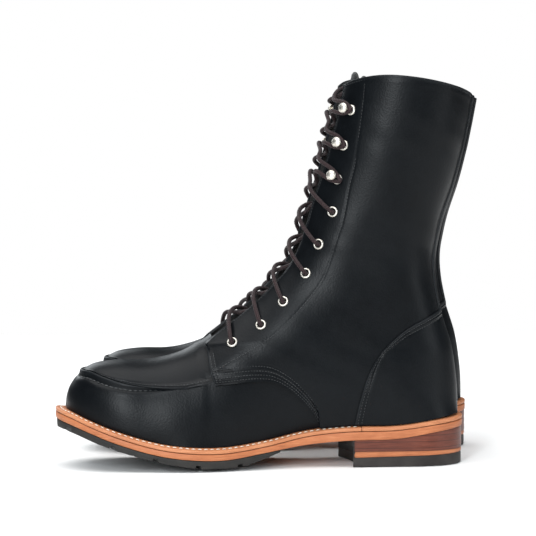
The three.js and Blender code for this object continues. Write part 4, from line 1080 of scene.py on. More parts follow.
vamp_a = there_and_back(np.linspace(0, 1, 150))
vamp_v = spaced(62, 1.1, end=1.0)
vamp = cut(vamp_place, vamp_a, vamp_v, vamp_face, level(-2.0), {"top": 0.5})
bold_rows = [seam(vamp_place, "top", BOLD_AT, span=s) for s in ((-0.862, -0.004), (0.004, 0.862))]
bold = [stitches(row, -0.22, *BOLD_STITCH) for row in bold_rows]
print("vamp", len(vamp[1]), "quads,", sum(len(q) for _, q in bold) // STITCH_QUADS, "bold stitches")

# %% The apron
def apron_place(w, a):
    """w runs from the toe end of the apron back to the throat, a from the lateral seam
    over the crest to the medial one."""
    u = 1 - np.cos(np.pi / 2 * w)
    edge = moc(u)
    top = mixed(3.4, 10.2, u)
    down = 1 - np.cos(np.pi / 2 * np.abs(a))
    x = mixed(crest_x(top), edge[..., 0] + 0.15, down)
    z = mixed(crest_z(top), edge[..., 1] + 0.5, down)
    return x, z, side_of_a(a)


def apron_face(far, point):
    """The edge stands up 1.25 mm in a ridge, and the fine stitches lie in a groove."""
    d = np.minimum(np.minimum(far["bottom"], far["top"]), far["front"] + 0.3)
    show = 1 - ease(-56, -48, point[..., 0])
    ridge = 1.25 * bell(d, 1.8)
    groove = -0.3 * bell(d - FINE_AT, 0.7) + 0.22 * bell(d - 6.0, 1.6)
    return show * (ridge + groove) - 1.1 * (1 - show) + flexing(point) * 0.7


apron_a = there_and_back(np.concatenate([np.linspace(0, 0.9, 26), 0.9 + 0.1 * spaced(8, 0.5)[1:]]))
apron = cut(apron_place, np.linspace(0.0, 1, 110), apron_a, apron_face, level(-1.7),
            {"bottom": 0.5, "top": 0.5})
fine_rows = [seam(lambda u, v: apron_place(u, v * 2 - 1), b, FINE_AT, span=(0.16, 0.93))
             for b in ("bottom", "top")]
fine = [stitches(row, -0.12, *FINE_STITCH) for row in fine_rows]
print("apron", len(apron[1]), "quads,", sum(len(q) for _, q in fine) // STITCH_QUADS, "fine stitches")

# %% [markdown]
# ## Quarters
# Each quarter is the tall side of the boot, from the sole to the collar. Its front edge
# is the lace facing, and its lower edge sweeps over the vamp. The two meet at the back
# under the backstay. Rows of stitches follow the borders, and a single row marks the
# reinforced strip that holds eyelets and hooks.
# %% The shape of a quarter
THROAT_STATION, FACING_TOP_STATION = 10.1, 24.6
quarter_lower = path(QUARTER_LOWER)
collar = path(COLLAR)
facing_share = np.array([0, 0.12, 0.25, 0.38, 0.5, 0.62, 0.75, 0.88, 1])
facing_t = mixed(THROAT_STATION, FACING_TOP_STATION, facing_share)
facing_points = over_top(facing_t, FACING_HALF_GAP)[0][:, [0, 2]]
quarter_front = path(QUARTER_FRONT[:-1] + facing_points.tolist() + [COLLAR[0]])
collar_end = back_point(np.array(float(COLLAR[-1][1])))


def late_share(u):
    """0 up to the half, then to 1 as a quarter of a sine, so that steps get shorter."""
    return np.sin(np.pi / 2 * np.clip((u - 0.5) * 2, 0, 1))


def quarter_bottom(u):
    """Over the vamp for the first half, then along the sole to the back."""
    over_vamp = quarter_lower(np.minimum(u * 2, 1))
    sole = feather(mixed(QUARTER_LOWER[-1][0], UPPER_BACK, late_share(u)))
    return np.where((np.asarray(u) < 0.5)[..., None], over_vamp, sole)


def quarter_top(u):
    """The collar, stretched so that its last point is on the back line."""
    moved = collar(u)
    moved[..., 0] += (collar_end[0] - COLLAR[-1][0]) * u
    return moved


quarter_patch = four_sided(quarter_bottom, quarter_top, quarter_front,
                           lambda v: back_point(mixed(rim_z(UPPER_BACK) + SOLE_GAP, COLLAR[-1][1], v)))


def quarter_place(side):
    """u runs from the facing to the back line, closer there, and v from sole to collar."""
    def at(u, v):
        xz = quarter_patch(np.where(u < 0.5, u, late_share(u) / 2 + 0.5), v)
        return xz[..., 0], xz[..., 1], np.full(np.shape(u), side)
    return at


LOWER_ROWS, FRONT_ROWS, COLLAR_ROW = (2.2, 5.0, 8.0, 11.4), (1.9, 4.6), 2.4
FOLD_RIDGES = (3.6, 9.7)
EYESTAY = [(-42, 72.5), (-29, 80), (-16, 87.5), (-4, 95), (7, 103.5), (24, 121), (37, 138), (43, 152),
           (49, 171), (53, 184), (58, 209), (62, 225), (65, 247), (67, 262), (68.5, 274), (69.5, 284)]
eyestay_line = path(EYESTAY)(np.linspace(0, 1, 500))


def lower_share(point):
    """1 where the lower border lies on the vamp, 0 where it meets the sole."""
    return 1 - ease(34, 44, point[..., 0])


def quarter_face(far, point):
    """2.3 mm at the laps and 2.85 beyond, less a groove for each row of stitches, with
    the ridges that a folded lower edge leaves between its rows."""
    over_vamp = lower_share(point) * (1 - ease(60, 90, far["bottom"]))
    lap = np.minimum(far["front"], np.where(over_vamp > 0.02, far["bottom"], 99))
    high = 2.3 + 0.55 * ease(2, 26, lap)
    front = 1 - ease(80, 92, point[..., 2])
    for d in LOWER_ROWS:
        high = high - 0.45 * bell(far["bottom"] - d, 0.85) * over_vamp
    for d in FOLD_RIDGES:
        high = high + 0.42 * bell(far["bottom"] - d, 1.1) * over_vamp
    high = high - 0.36 * bell(far["front"] - FRONT_ROWS[0], 0.75)
    high = high - 0.36 * bell(far["front"] - FRONT_ROWS[1], 0.75) * front
    high = high - 0.26 * bell(far["top"] - COLLAR_ROW, 0.7) + 0.12 * bell(far["top"] - 4.4, 1.4)
    stay_x, stay_z = eyestay_line[::5].T
    away = np.hypot(point[..., 0][..., None] - stay_x, point[..., 2][..., None] - stay_z)
    high = high - 0.40 * bell(away.min(axis=-1), 0.9)
    return high + flexing(point) * ease(0, 12, lap) * ease(0, 10, far["top"]) * 0.9


BARREL_FROM, BARREL_TO, BARREL_SINK, BARREL_REACH = 2.2, 2.75, 5.2, 12


def eyelet_holes(points, side):
    """Nothing is cut: near an eyelet's middle both faces sink under its barrel. Only
    points within reach of the eyelet's own plane do, not those across the boot."""
    for place in EYELETS:
        middle, _, _, out = facing_frame(place, side)
        r = np.linalg.norm(np.cross(points - middle, out), axis=-1)
        near = (1 - ease(BARREL_FROM, BARREL_TO, r)) * (np.abs((points - middle) @ out) < BARREL_REACH)
        points = points - out * (near * BARREL_SINK)[..., None]
    return points


LOWER_STITCH, FACING_STITCH = (2.1, 1.55, 0.5, 0.5), (2.2, 1.6, 0.5, 0.5)
EDGE_STITCH, EYESTAY_STITCH = (2.3, 1.7, 0.5, 0.5), (2.4, 1.8, 0.52, 0.5)
quarters = {}
for side, word in ((-1, "lateral"), (1, "medial")):
    place = quarter_place(side)
    solid = cut(place, spaced(185, 1.15, start=0.9), spaced(215, 1.25, start=0.9, end=1.0), quarter_face,
                level(0.2), {"front": 0.85, "top": 0.95}, closed_back=True)
    solid = (eyelet_holes(solid[0], side), *solid[1:])
    rows = [stitches(seam(place, "bottom", d, span=(0.005, 0.478)), 2.15, *LOWER_STITCH) for d in LOWER_ROWS]
    for d, end in zip(FRONT_ROWS, (0.985, 0.125)):
        rows.append(stitches(seam(place, "front", d, span=(0.01, end)), 2.1, *FACING_STITCH))
    rows.append(stitches(seam(place, "top", COLLAR_ROW, span=(0.01, 0.985)), 2.55, *EDGE_STITCH))
    rows.append(stitches(line_on(EYESTAY, side), 2.62, *EYESTAY_STITCH))
    quarters[word] = (solid, rows)
    print(word, "quarter", len(solid[1]), "quads,", sum(len(q) for _, q in rows) // STITCH_QUADS, "stitches")

# %% [markdown]
# ## Heel counter, backstay and tongue
# The counter is a curved overlay round the heel with two close rows of stitches. A strip
# called the backstay covers the seam between the quarters from there to the collar. The
# tongue is softer leather behind the lace, wider than the gap, and stands a little
# higher than the facings.
# %% The heel counter
counter_top, counter_front = path(COUNTER_TOP), path(COUNTER_FRONT)
counter_shift = back_point(np.array(float(COUNTER_TOP[-1][1])))[0] - COUNTER_TOP[-1][0]


def counter_upper(u):
    """The counter's top from the back line forward, moved to meet that line."""
    moved = counter_top(1 - np.asarray(u))
    moved[..., 0] += counter_shift * (1 - np.asarray(u))
    return moved


counter_patch = four_sided(lambda u: feather(mixed(UPPER_BACK, COUNTER_FRONT[0][0], u)), counter_upper,
                           lambda v: back_point(mixed(rim_z(UPPER_BACK) + SOLE_GAP, COUNTER_TOP[-1][1], v)),
                           counter_front)
COUNTER_ROWS, COUNTER_STITCH = (2.2, 5.0), (2.2, 1.65, 0.52, 0.5)


def counter_place(a, v):
    """a runs from the lateral front round the heel to the medial front, v upwards."""
    xz = counter_patch(bunched(a), v)
    return xz[..., 0], xz[..., 1], side_of_a(a)


def counter_face(far, point):
    """4.3 mm at the border and 5.5 beyond, with a groove for each row of stitches and a
    ridge between them."""
    d = np.minimum(np.minimum(far["front"], far["back"]), far["top"])
    high = 4.3 + 1.2 * ease(3, 30, d)
    for row in COUNTER_ROWS:
        high = high - 0.42 * bell(d - row, 0.85)
    return high + 0.30 * bell(d - 3.6, 0.9) + flexing(point) * 0.5 * ease(2, 14, d)


counter = cut(counter_place, there_and_back(spaced(92, 1.1, end=0.9)), spaced(78, 1.2, end=0.9), counter_face,
              level(2.6), {"top": 0.8, "front": 0.8, "back": 0.8})
counter_rows = []
for d in COUNTER_ROWS:
    lines = [seam(counter_place, "top", d, span=(-0.985, 0.985))]
    lines += [seam(lambda u, v: counter_place(u * 2 - 1, v), b, d, span=(0.03, 0.965))
              for b in ("front", "back")]
    counter_rows += [stitches(line, 4.15, *COUNTER_STITCH) for line in lines]
print("counter", len(counter[1]), "quads,", sum(len(q) for _, q in counter_rows) // STITCH_QUADS, "stitches")

# %% The backstay
BACKSTAY_HALF, BACKSTAY_LOW, BACKSTAY_HIGH = 13.0, COUNTER_TOP[-1][1] - 3.0, COLLAR[-1][1] - 0.5


def backstay_place(a, v):
    """At each height the strip reaches across until its half width is met: a step
    inwards is added in proportion to what is missing, sixteen times."""
    z = mixed(BACKSTAY_LOW, BACKSTAY_HIGH, v)
    reach = mixed(0.75, 1.0, v) * BACKSTAY_HALF * np.abs(a)
    side, x, inward = side_of_a(a), back_point(z)[..., 0], np.zeros_like(z)
    for _ in range(16):
        inward = inward + (reach**2 - squared_at(x - inward, z, side)) / 80
    return x - inward, z, side


def backstay_face(far, point):
    """4 mm at the sides and 4.9 between, with a groove for the stitches."""
    d = np.minimum(far["front"], far["back"])
    return 4.0 + 0.9 * ease(1, 8, d) - 0.25 * bell(d - 2.0, 0.7) + flexing(point) * 0.4


backstay = cut(backstay_place, there_and_back(spaced(13, 0.8, end=0.8)), spaced(166, 1.3, end=0.9),
               backstay_face, level(2.5), {"front": 0.8, "back": 0.8, "top": 0.8})
backstay_rows = [stitches(seam(lambda u, v: backstay_place(u * 2 - 1, v), b, 2.0, span=(0.03, 0.985)),
                          3.95, *EDGE_STITCH) for b in ("front", "back")]
print("backstay", len(backstay[1]), "quads")

# %% The tongue
TONGUE_HALF, TONGUE_FACE, TONGUE_THICK = 27.0, -6.4, 2.2
TONGUE_ROOT_STATION, TONGUE_TOP_STATION = 9.3, 25.75
TONGUE_STITCH = (2.6, 1.9, 0.5, 0.5)


def tongue_grid(rows=170, columns=50):
    """Stations along the shin and distances across it, narrower at both ends. The top
    is rounded: the last stretch of each line is shortened towards the sides."""
    i, j = np.meshgrid(np.linspace(0, 1, rows), np.linspace(-1, 1, columns), indexing="ij")
    narrow = np.minimum(np.minimum(1, 0.55 + i * 11 / 6), 0.8 + (1 - i) * 11 / 6)
    top = TONGUE_TOP_STATION - 0.55 * np.abs(j) ** 3
    return over_top(mixed(TONGUE_ROOT_STATION, top, i), j * TONGUE_HALF * narrow)


tongue_point, tongue_out = tongue_grid()
tongue_far = distance_along(tongue_point, 1)
tongue_side = np.minimum(tongue_far, tongue_far[:, -1:] - tongue_far)
tongue_up = distance_along(tongue_point, 0)
tongue_end = tongue_up[-1:] - tongue_up
rim = np.minimum(tongue_side, tongue_end)
soft = flexing(tongue_point) * 1.2 - 0.25 * bell(rim - 3.2, 0.8)
tongue_high = TONGUE_FACE - cut_edge(rim, 0.9) + soft * ease(0, 5, rim) * 0.7
outer = tongue_point + tongue_out * tongue_high[..., None]
inner = tongue_point + tongue_out * (TONGUE_FACE - TONGUE_THICK + cut_edge(rim, 0.3))[..., None]
tongue_solid = shell(outer, inner)
tongue_worn = np.concatenate([bell(rim, 1.5).ravel()] * 2)
tongue_rows = [stitches((tongue_point[8:-6, k], tongue_out[8:-6, k]), TONGUE_FACE - 0.1, *TONGUE_STITCH)
               for k in (3, -4)]
print("tongue", len(tongue_solid[1]), "quads, up to", round(float(outer[..., 2].max()), 1), "mm")

# %% Sew both uppers
for boot in PLACES:
    body = f"{boot}_boot"
    for name, (points, quads, worn, inside), node_name in (
            ("vamp_leather", vamp, "vamp"), ("apron_leather", apron, "apron"),
            ("quarter_lateral_leather", quarters["lateral"][0], "quarter_lateral"),
            ("quarter_medial_leather", quarters["medial"][0], "quarter_medial"),
            ("counter_leather", counter, "heel_counter"), ("backstay_leather", backstay, "backstay")):
        finish_piece(f"{boot}_{name}", boot, body, points, quads, BLACK_LEATHER, slot="black_leather",
                     replaces=[f"{boot}_{node_name}"], fields={"edge": worn}, second=(LINING, inside))
    thread = [*bold, *fine, *quarters["lateral"][1], *quarters["medial"][1], *counter_rows, *backstay_rows]
    points, quads = together(thread)
    finish_piece(f"{boot}_upper_stitching", boot, body, points, quads, BLACK_THREAD, slot="black_leather")
    finish_piece(f"{boot}_tongue_leather", boot, f"{boot}_tongue", *tongue_solid, TONGUE_LEATHER,
                 slot="tongue_leather", replaces=[f"{boot}_tongue"], fields={"edge": tongue_worn})
    finish_piece(f"{boot}_tongue_stitching", boot, f"{boot}_tongue", *together(tongue_rows), BLACK_THREAD,
                 slot="tongue_leather")

# %% [markdown]
# ## Welt, midsole, rubber and heel
# The welt is a narrow strip sewn round the upper, and its stitches show on top. Round the
# heel a plain rand takes its place. Under them lies the full leather midsole, then the
# lugged rubber forefoot and the stacked heel. Each layer follows the sole's outline at
# its own inset, and its edge is a few rings of points, so that it is trimmed round.
# %% Layers
def bunched_between(u, start, end):
    """0 to 1 with the steps closer together at a rounded start or end."""
    if start and end:
        return (1 - np.cos(np.pi * u)) / 2
    return 1 - np.cos(np.pi / 2 * u) if start else np.sin(np.pi / 2 * u)


def layer(rows, columns, from_x, to_x, top, bottom, profile, start, end, hollow=0.0):
    """A flat layer. profile lists (inset, share, drop) down its edge: the inset from the
    outline, how far between top and bottom, and a small fall. hollow bends the first
    rows inwards, as a heel's breast. The edge field is 1 on the first and last ring of
    the wall. On a hollow breast it holds the value that paints shade there. tip keeps a round end blunt."""
    tip = 0.12

    def plan(inset):
        """x, y and the share s across, from -1 to 1, of a grid inset from the outline."""
        u, s = np.meshgrid(np.linspace(0, 1, rows), np.linspace(-1, 1, columns), indexing="ij")
        first = from_x + (inset + tip) * start
        x = mixed(first, to_x - (inset + tip) * end, bunched_between(u, start, end))
        y = s * np.maximum(sole_edge(x, np.where(s < 0, -1, 1), inset), 0)
        x = x + ((1 - s * s) - np.maximum(s, 0) * 0.6) * hollow * (1 - u) ** 2
        return x, y, s

    def at(inset, share, drop):
        """That grid at a share of the way from top to bottom, let down by the drop."""
        x, y, s = plan(inset)
        return np.stack([x, y, mixed(top(x, s), bottom(x, s), share) - drop], -1)

    ring = border(rows, columns)
    faces = [at(*profile[0]), at(*profile[-1])]
    walls = [at(*step).reshape(-1, 3)[ring] for step in profile[1:-1]]
    rubbed = [np.full(len(ring), float(k in (0, len(walls) - 1))) for k in range(len(walls))]
    edge = np.concatenate([np.zeros(2 * rows * columns), *rubbed])
    # Painted shade: the breast rows get a high edge value, so the finish paints them near black.
    breast_shade = np.zeros(rows * columns)
    breast_shade[:columns] = BREAST_SHADE if hollow else 0
    edge = np.maximum(edge, np.concatenate([breast_shade, breast_shade, *[breast_shade[ring]] * len(walls)]))
    return (*shell(*faces, walls), edge)


def rim_strip(rows, from_x, to_x, profile, ends):
    """A strip round the toe or the heel: profile is a closed outline of (inset, height
    over the rim), carried round the sole's outline."""
    inset, height = np.asarray(profile, float).T
    a = np.linspace(-1, 1, rows)
    near = {"toe": lambda i: TOE_X + i, "heel": lambda i: HEEL_X - i}[ends](inset)
    share = 1 - np.cos(np.pi / 2 * np.abs(a))
    x = mixed(near[None, :], to_x, share[:, None])
    y = np.sign(a)[:, None] * sole_edge(x, side_of_a(a)[:, None], inset[None, :])
    return tube(np.stack([x, y, rim_z(x) + height], -1))


WELT_END = BREAST_X + 6
WELT_PROFILE = [(RING_WIDTH, -0.2), (9, 0.1), (7.5, 0.1), (6, -0.05), (4.6, -0.35), (3.9, -0.75),
                (3.2, -0.75), (2.5, -0.55), (1.2, -1.0), (0.45, -1.25), (0.08, -1.65), (0, -2.2), (0.0, -3.0),
                (0.12, -3.45), (0.45, -3.66), (5, -3.7), (RING_WIDTH, -3.7), (RING_WIDTH, -2)]
welt = rim_strip(231, WELT_END, WELT_END, WELT_PROFILE, "toe")
RAND_PROFILE = [(RING_WIDTH, -0.2), (9, 0.05), (6, 0.0), (3, -0.3), (1.2, -0.7), (0.5, -0.9), (0.12, -1.3),
                (0, -1.8), (0, -3.0), (0.12, -3.45), (0.45, -3.66), (5, -3.7), (9, -3.7), (RING_WIDTH, -3.7),
                (RING_WIDTH, -2.6), (RING_WIDTH, -1.2)]
rand = rim_strip(121, WELT_END + 0.6, WELT_END + 0.6, RAND_PROFILE, "heel")
ROUND_EDGE = [(1.2, 0, 0), (0.4, 0, 0.1), (0.1, 0, 0.45), (0, 0.2, 0), (-0.05, 0.5, 0), (0, 0.8, 0),
              (0.12, 1, -0.45), (0.4, 1, -0.12), (1.2, 1, 0)]
midsole = layer(170, 20, TOE_X, HEEL_X, lambda x, s: rim_z(x) - WELT_THICK - LAYER_GAP,
                lambda x, s: midsole_bottom_z(x), ROUND_EDGE, 1, 1)
print("welt", len(welt[1]), "rand", len(rand[1]), "midsole", len(midsole[1]), "quads")

# %% The welt's stitches
WELT_STITCH_INSET, WELT_STITCH = 3.9, (4.6, 3.3, 0.85, 0.85)
welt_a = np.concatenate([-np.linspace(1, 0, 500)[:-1], np.linspace(0, 1, 500)])
stitch_x = mixed(TOE_X + WELT_STITCH_INSET, BREAST_X + 4, 1 - np.cos(np.pi / 2 * np.abs(welt_a)))
stitch_y = np.sign(welt_a) * sole_edge(stitch_x, side_of_a(welt_a), WELT_STITCH_INSET)
slope = (rim_z(stitch_x + 1) - rim_z(stitch_x - 1)) / 2
out_of_welt = np.stack([-slope, np.sign(welt_a) * 0.12, np.ones_like(welt_a)], -1)
out_of_welt /= np.linalg.norm(out_of_welt, axis=1, keepdims=True)
welt_line = np.stack([stitch_x, stitch_y, rim_z(stitch_x)], -1), out_of_welt
welt_stitches = stitches(welt_line, -0.5, *WELT_STITCH, sink=0.6)
print(len(welt_stitches[1]) // STITCH_QUADS, "welt stitches")

# %% [markdown]
# The forefoot rubber is one layer whose underside rises in slanting grooves from both
# edges, so that the tread's blocks show from the side. It thins out to nothing under the
# waist of the foot.
# %% Forefoot rubber
LUG_FIRST_X, LUG_PITCH, LUG_GROOVES = -150.0, 15.6, 9
WIDE_GROOVE, NARROW_GROOVE = (4.6, 4.2), (2.2, 2.2)


def rubber_bottom(x, s):
    """The rocker's curve with a slight crown, plus the grooves: flat-topped pulses
    along x, far in from each edge and leaning towards the toe on the way in, every
    other one wide."""
    ground = np.maximum(0, rubber_profile(x))
    thick = midsole_bottom_z(x) - GAP - ground
    crown = 2 * np.abs(s) ** 3 * np.clip(thick / 8, 0, 1)
    leaning = x + (1 - np.abs(s)) * 7
    k = np.round((leaning - LUG_FIRST_X) / LUG_PITCH)
    apart = np.abs(leaning - LUG_FIRST_X - np.clip(k, 0, LUG_GROOVES - 1) * LUG_PITCH)
    width, depth = (np.where(k % 2 == 0, wide, narrow) for wide, narrow in zip(WIDE_GROOVE, NARROW_GROOVE))
    groove = (1 - ease(width / 2 - 0.7, width / 2 + 0.2, apart)) * ease(0.25, 0.33, np.abs(s))
    return ground + np.maximum(crown, groove * np.minimum(depth, thick * 0.62))


TREAD_EDGE = [(0.9, 0, 0), (0.2, 0, 0.3), (0, 0.25, 0), (0.15, 0.6, 0), (0.25, 0.93, 0), (0.8, 1, 0)]
outsole = layer(420, 29, TOE_X + 0.8, RUBBER_END_X, lambda x, s: midsole_bottom_z(x) - LAYER_GAP,
                rubber_bottom, TREAD_EDGE, 1, 0)
print("outsole", len(outsole[1]), "quads")

# %% [markdown]
# The heel is built up from leather lifts under the midsole, then one pale lift, then the
# rubber top lift that meets the ground. Its front wall, the breast, is hollowed. The
# lifts' fine glue lines are drawn by the finish, and by small dips in the edge itself.
# %% Heel
STACK_FOOT_Z, TAN_FOOT_Z, BREAST_HOLLOW, GLUE_DIP = (11.4, 11.6), (6.8, 8.6), 4, 0.13
TAN_LIFT_EDGE = [(1.6, 0, 0), (0.75, 0, 0.1), (0.55, 0.35, 0), (0.55, 0.65, 0), (0.75, 1, -0.1), (1.6, 1, 0)]
TOP_LIFT_EDGE = [(1.8, 0, 0), (1.0, 0, 0.12), (0.75, 0.2, 0), (0.7, 0.6, 0), (0.8, 0.93, 0), (1.3, 1, 0),
                 (2.4, 1, 0)]


def heel_rise(pair, over=0.0):
    """A slope from the first height at the breast to the second at the back."""
    return lambda x, s: mixed(pair[0], pair[1], (x - BREAST_X) / (HEEL_X - BREAST_X)) + over


def lifts(count, inset):
    """An edge of that many lifts, which dips in by 0.13 mm at each glue line."""
    share = np.linspace(0, 1, count * 4 + 1)
    dip = GLUE_DIP * np.abs(np.cos(np.pi * share * count)) ** 6
    edge = [(inset + b, float(s), 0) for s, b in zip(share, dip)]
    return [(inset + 1.0, 0, 0.0)] + edge + [(inset + 1.0, 1, 0.0)]


def heel_layer(top, bottom, profile):
    """A layer of the heel, from the breast to the back."""
    return layer(60, 17, BREAST_X, HEEL_X, top, bottom, profile, 0, 1, hollow=BREAST_HOLLOW)


stack = heel_layer(lambda x, s: midsole_bottom_z(x) - LAYER_GAP, heel_rise(STACK_FOOT_Z, LAYER_GAP),
                   lifts(3, 0.4))
tan_lift = heel_layer(heel_rise(STACK_FOOT_Z), heel_rise(TAN_FOOT_Z, LAYER_GAP), TAN_LIFT_EDGE)
top_lift = heel_layer(heel_rise(TAN_FOOT_Z), lambda x, s: 0 * x, TOP_LIFT_EDGE)
for boot in PLACES:
    body = f"{boot}_boot"
    for name, solid, material, slot, node_name in (
            ("midsole_edge", midsole, TAN_EDGE, "tan_leather", "midsole"),
            ("forefoot_tread", outsole, FOREFOOT_RUBBER, "forefoot_rubber", "outsole"),
            ("heel_lifts", stack, STACK_EDGE, "stacked_leather", "heel_stack"),
            ("heel_tan_lift", tan_lift, TAN_EDGE, "tan_leather", "heel_lift"),
            ("heel_top_piece", top_lift, HEEL_RUBBER, "heel_rubber", "heel_top_lift")):
        points, quads, edge = solid
        finish_piece(f"{boot}_{name}", boot, body, points, quads, material, slot=slot,
                     replaces=[f"{boot}_{node_name}"], fields={"edge": edge})
    finish_piece(f"{boot}_welt_strip", boot, body, *welt, WELT_EDGE, slot="tan_leather",
                 replaces=[f"{boot}_welt"])
    finish_piece(f"{boot}_heel_rand_strip", boot, body, *rand, WELT_EDGE, slot="tan_leather",
                 replaces=[f"{boot}_heel_rand"])
    finish_piece(f"{boot}_welt_stitching", boot, body, *welt_stitches, CREAM_THREAD, slot="tan_leather")

# %% [markdown]
# ## Eyelets and speed hooks
# An eyelet is a short tube whose rim is rolled over the leather. A speed hook is a
# rolled base with a hole, a strap that rises in front of it, and a domed button that
# keeps the lace. All are turned shapes, except the strap, which is a flat bar carried
# along a bent line. Each is placed by the frame of its own spot on the facing.
# %% Shapes of the metal
DOME_FORWARD, DOME_HIGH = 0.6, 8.35
STRAP_HALF_WIDE, STRAP_HALF_THICK, STRAP_SQUARE = 1.6, 0.5, 0.6
eyelet_shape = turned([(2.3, -1.5), (2.3, 2.9), (2.42, 3.5), (2.75, 3.95), (3.2, 4.1), (3.65, 3.9),
                       (3.95, 3.45), (4.0, 2.95), (3.85, 2.5), (3.4, 2.35), (2.7, 2.35), (2.62, 1.0),
                       (2.62, -1.5)], 40)
hook_base = turned([(1.75, 2.3), (1.75, 3.2), (1.95, 3.65), (2.4, 3.95), (2.95, 4.0), (3.5, 3.8), (3.9, 3.4),
                    (4.0, 2.9), (3.8, 2.5), (3.0, 2.3)], 36)
dome_line = [(0.02, -0.35), (1.6, -0.3), (2.9, -0.1), (3.65, 0.0), (3.88, 0.3), (3.86, 0.7), (3.6, 1.25),
             (3.1, 1.75), (2.4, 2.2), (1.6, 2.5), (0.8, 2.66), (0.02, 2.7)]
hook_dome = turned(dome_line, 36)
hook_dome = (hook_dome[0] + (HOOK_NECK_X + DOME_FORWARD, 0, DOME_HIGH), hook_dome[1])
STRAP_BEND = [(-2.2, 0, 3.55), (-3.2, 0, 3.7), (-4.2, 0, 4.1), (-4.8, 0, 5.4), (-4.6, 0, 7.0), (-3.6, 0, 8.4)]
strap_line, _ = flowing(np.array(STRAP_BEND, float), 0.35)
strap_a = 2 * np.pi * np.arange(12) / 12
strap_ahead = np.gradient(strap_line, axis=0)
strap_ahead /= np.linalg.norm(strap_ahead, axis=1, keepdims=True)
strap_out = np.cross(strap_ahead, (0, 1, 0))
oval = [np.sign(wave) * np.abs(wave) ** STRAP_SQUARE for wave in (np.cos(strap_a), np.sin(strap_a))]
strap = tube(strap_line[:, None] + np.array([0, STRAP_HALF_WIDE, 0]) * oval[0][:, None]
             + strap_out[:, None] * STRAP_HALF_THICK * oval[1][:, None])
hook_shape = together([hook_base, hook_dome, strap])


def placed(shape, place, side):
    """A shape set in the facing's frame; the frame is mirrored on neither side, because
    its third direction is the cross product of the other two."""
    point, away, above, out = facing_frame(place, side)
    points = point + shape[0][:, :1] * away + shape[0][:, 1:2] * above + shape[0][:, 2:] * out
    return points, shape[1] if np.linalg.det(np.stack([away, above, out])) > 0 else shape[1][:, ::-1]


for boot in PLACES:
    for word, side in (("lateral", -1), ("medial", 1)):
        row = together([placed(eyelet_shape, place, side) for place in EYELETS])
        finish_piece(f"{boot}_eyelet_row_{word}", boot, f"{boot}_boot", *row, NICKEL, slot="nickel",
                     replaces=[f"{boot}_eyelets_{word}"], sharp=50)
        for k, place in enumerate(HOOKS, 1):
            hook = placed(hook_shape, place, side)
            finish_piece(f"{boot}_speed_hook_{word}_{k}", boot, f"{boot}_boot", *hook, NICKEL, slot="nickel",
                         replaces=[f"{boot}_hook_{word}_{k}"], sharp=50)

# %% [markdown]
# ## Inside
# The cork filler is sealed between insole and midsole, and the insole shows only from
# above. Their solids have the right shape, so they stay and get a finish. They are loose
# triangles, which is why their meshes are left alone.
# %% Finishes of the solids that stay
for boot in PLACES:
    for part, material in (("insole", INSOLE), ("filler", CORK)):
        solid = frame["nodes"][f"{boot}_{part}"]
        if not solid.material_slots:
            solid.data.materials.append(material)
        for slot_of in solid.material_slots:
            slot_of.material = material
print("solids that stay", [f"{b}_{p}" for b in PLACES for p in ("insole", "filler")])

# %% [markdown]
# ## Studio
# A pale floor lies under the boots. A wide sun overhead lights them evenly, and a tall
# soft box beside the left boot draws the long highlight down its shaft. Two weaker boxes
# keep the other sides from going black. The room is white to the camera alone, and dim
# otherwise, because black leather that mirrors a bright room looks grey.
# %% Floor, lights and room
FLOOR_HALF, FLOOR_Z = 1.2, -0.0004


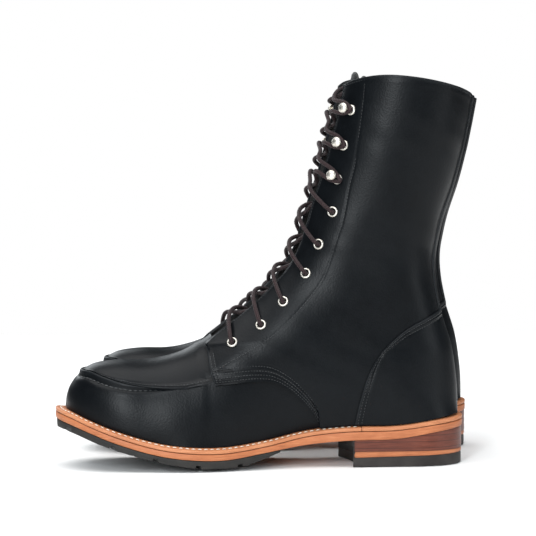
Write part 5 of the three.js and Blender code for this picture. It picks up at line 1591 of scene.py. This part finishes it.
def area_light(name, place, target, size, power):
    """A soft box of (width, height) metres at a place, turned to its target."""
    light = bpy.data.lights.new(name, "AREA")
    light.shape, light.size, light.size_y, light.energy = "RECTANGLE", size[0], size[1], power
    light.color = (0.92, 0.97, 1.0)
    lamp = bpy.data.objects.new(name, light)
    lamp.matrix_world = facing(place, target)
    bpy.context.scene.collection.objects.link(lamp)
    return lamp


floor_mesh = bpy.data.meshes.new("floor")
floor_corners = [(x * FLOOR_HALF, y * FLOOR_HALF, FLOOR_Z) for x, y in ((-1, -1), (1, -1), (1, 1), (-1, 1))]
floor_mesh.from_pydata(floor_corners, [], [(0, 1, 2, 3)])
floor = bpy.data.objects.new("floor", floor_mesh)
bpy.context.scene.collection.objects.link(floor)
floor_finish, _, floor_shader = fresh("pale_floor", 0.9, specular=0.1)
floor_shader.inputs["Base Color"].default_value = (0.93, 0.93, 0.925, 1)
floor_mesh.materials.append(floor_finish)
world = bpy.data.worlds.new("bright_room")
bpy.context.scene.world = world
world.use_nodes = True
room, white = world.node_tree.nodes["Background"], world.node_tree.nodes.new("ShaderNodeBackground")
room.inputs["Color"].default_value, room.inputs["Strength"].default_value = (0.90, 0.95, 1.0, 1), 0.10
white.inputs["Color"].default_value, white.inputs["Strength"].default_value = (1.0, 1.0, 1.0, 1), 1.0
seen = world.node_tree.nodes.new("ShaderNodeLightPath")
either = world.node_tree.nodes.new("ShaderNodeMixShader")
for a, b in ((seen.outputs["Is Camera Ray"], either.inputs[0]), (room.outputs[0], either.inputs[1]),
             (white.outputs[0], either.inputs[2]),
             (either.outputs[0], world.node_tree.nodes["World Output"].inputs["Surface"])):
    world.node_tree.links.new(a, b)
overhead = bpy.data.lights.new("overhead", "SUN")
overhead.energy, overhead.angle = 3.4, math.radians(68)
lamp = bpy.data.objects.new("overhead", overhead)
lamp.matrix_world = facing((-0.35, -0.35, 2.6), (0, 0, 0))
bpy.context.scene.collection.objects.link(lamp)
area_light("key_left", (-0.62, -1.9, 0.72), (0, 0, 0.22), (0.32, 1.1), 34)
area_light("fill_right", (1.6, -0.9, 0.7), (0, 0, 0.15), (0.35, 1.3), 9)
area_light("rim_behind", (-0.6, 1.7, 0.9), (0, 0, 0.15), (0.9, 1.0), 8)
bpy.context.scene.view_settings.view_transform = "Standard"
print("stage set")
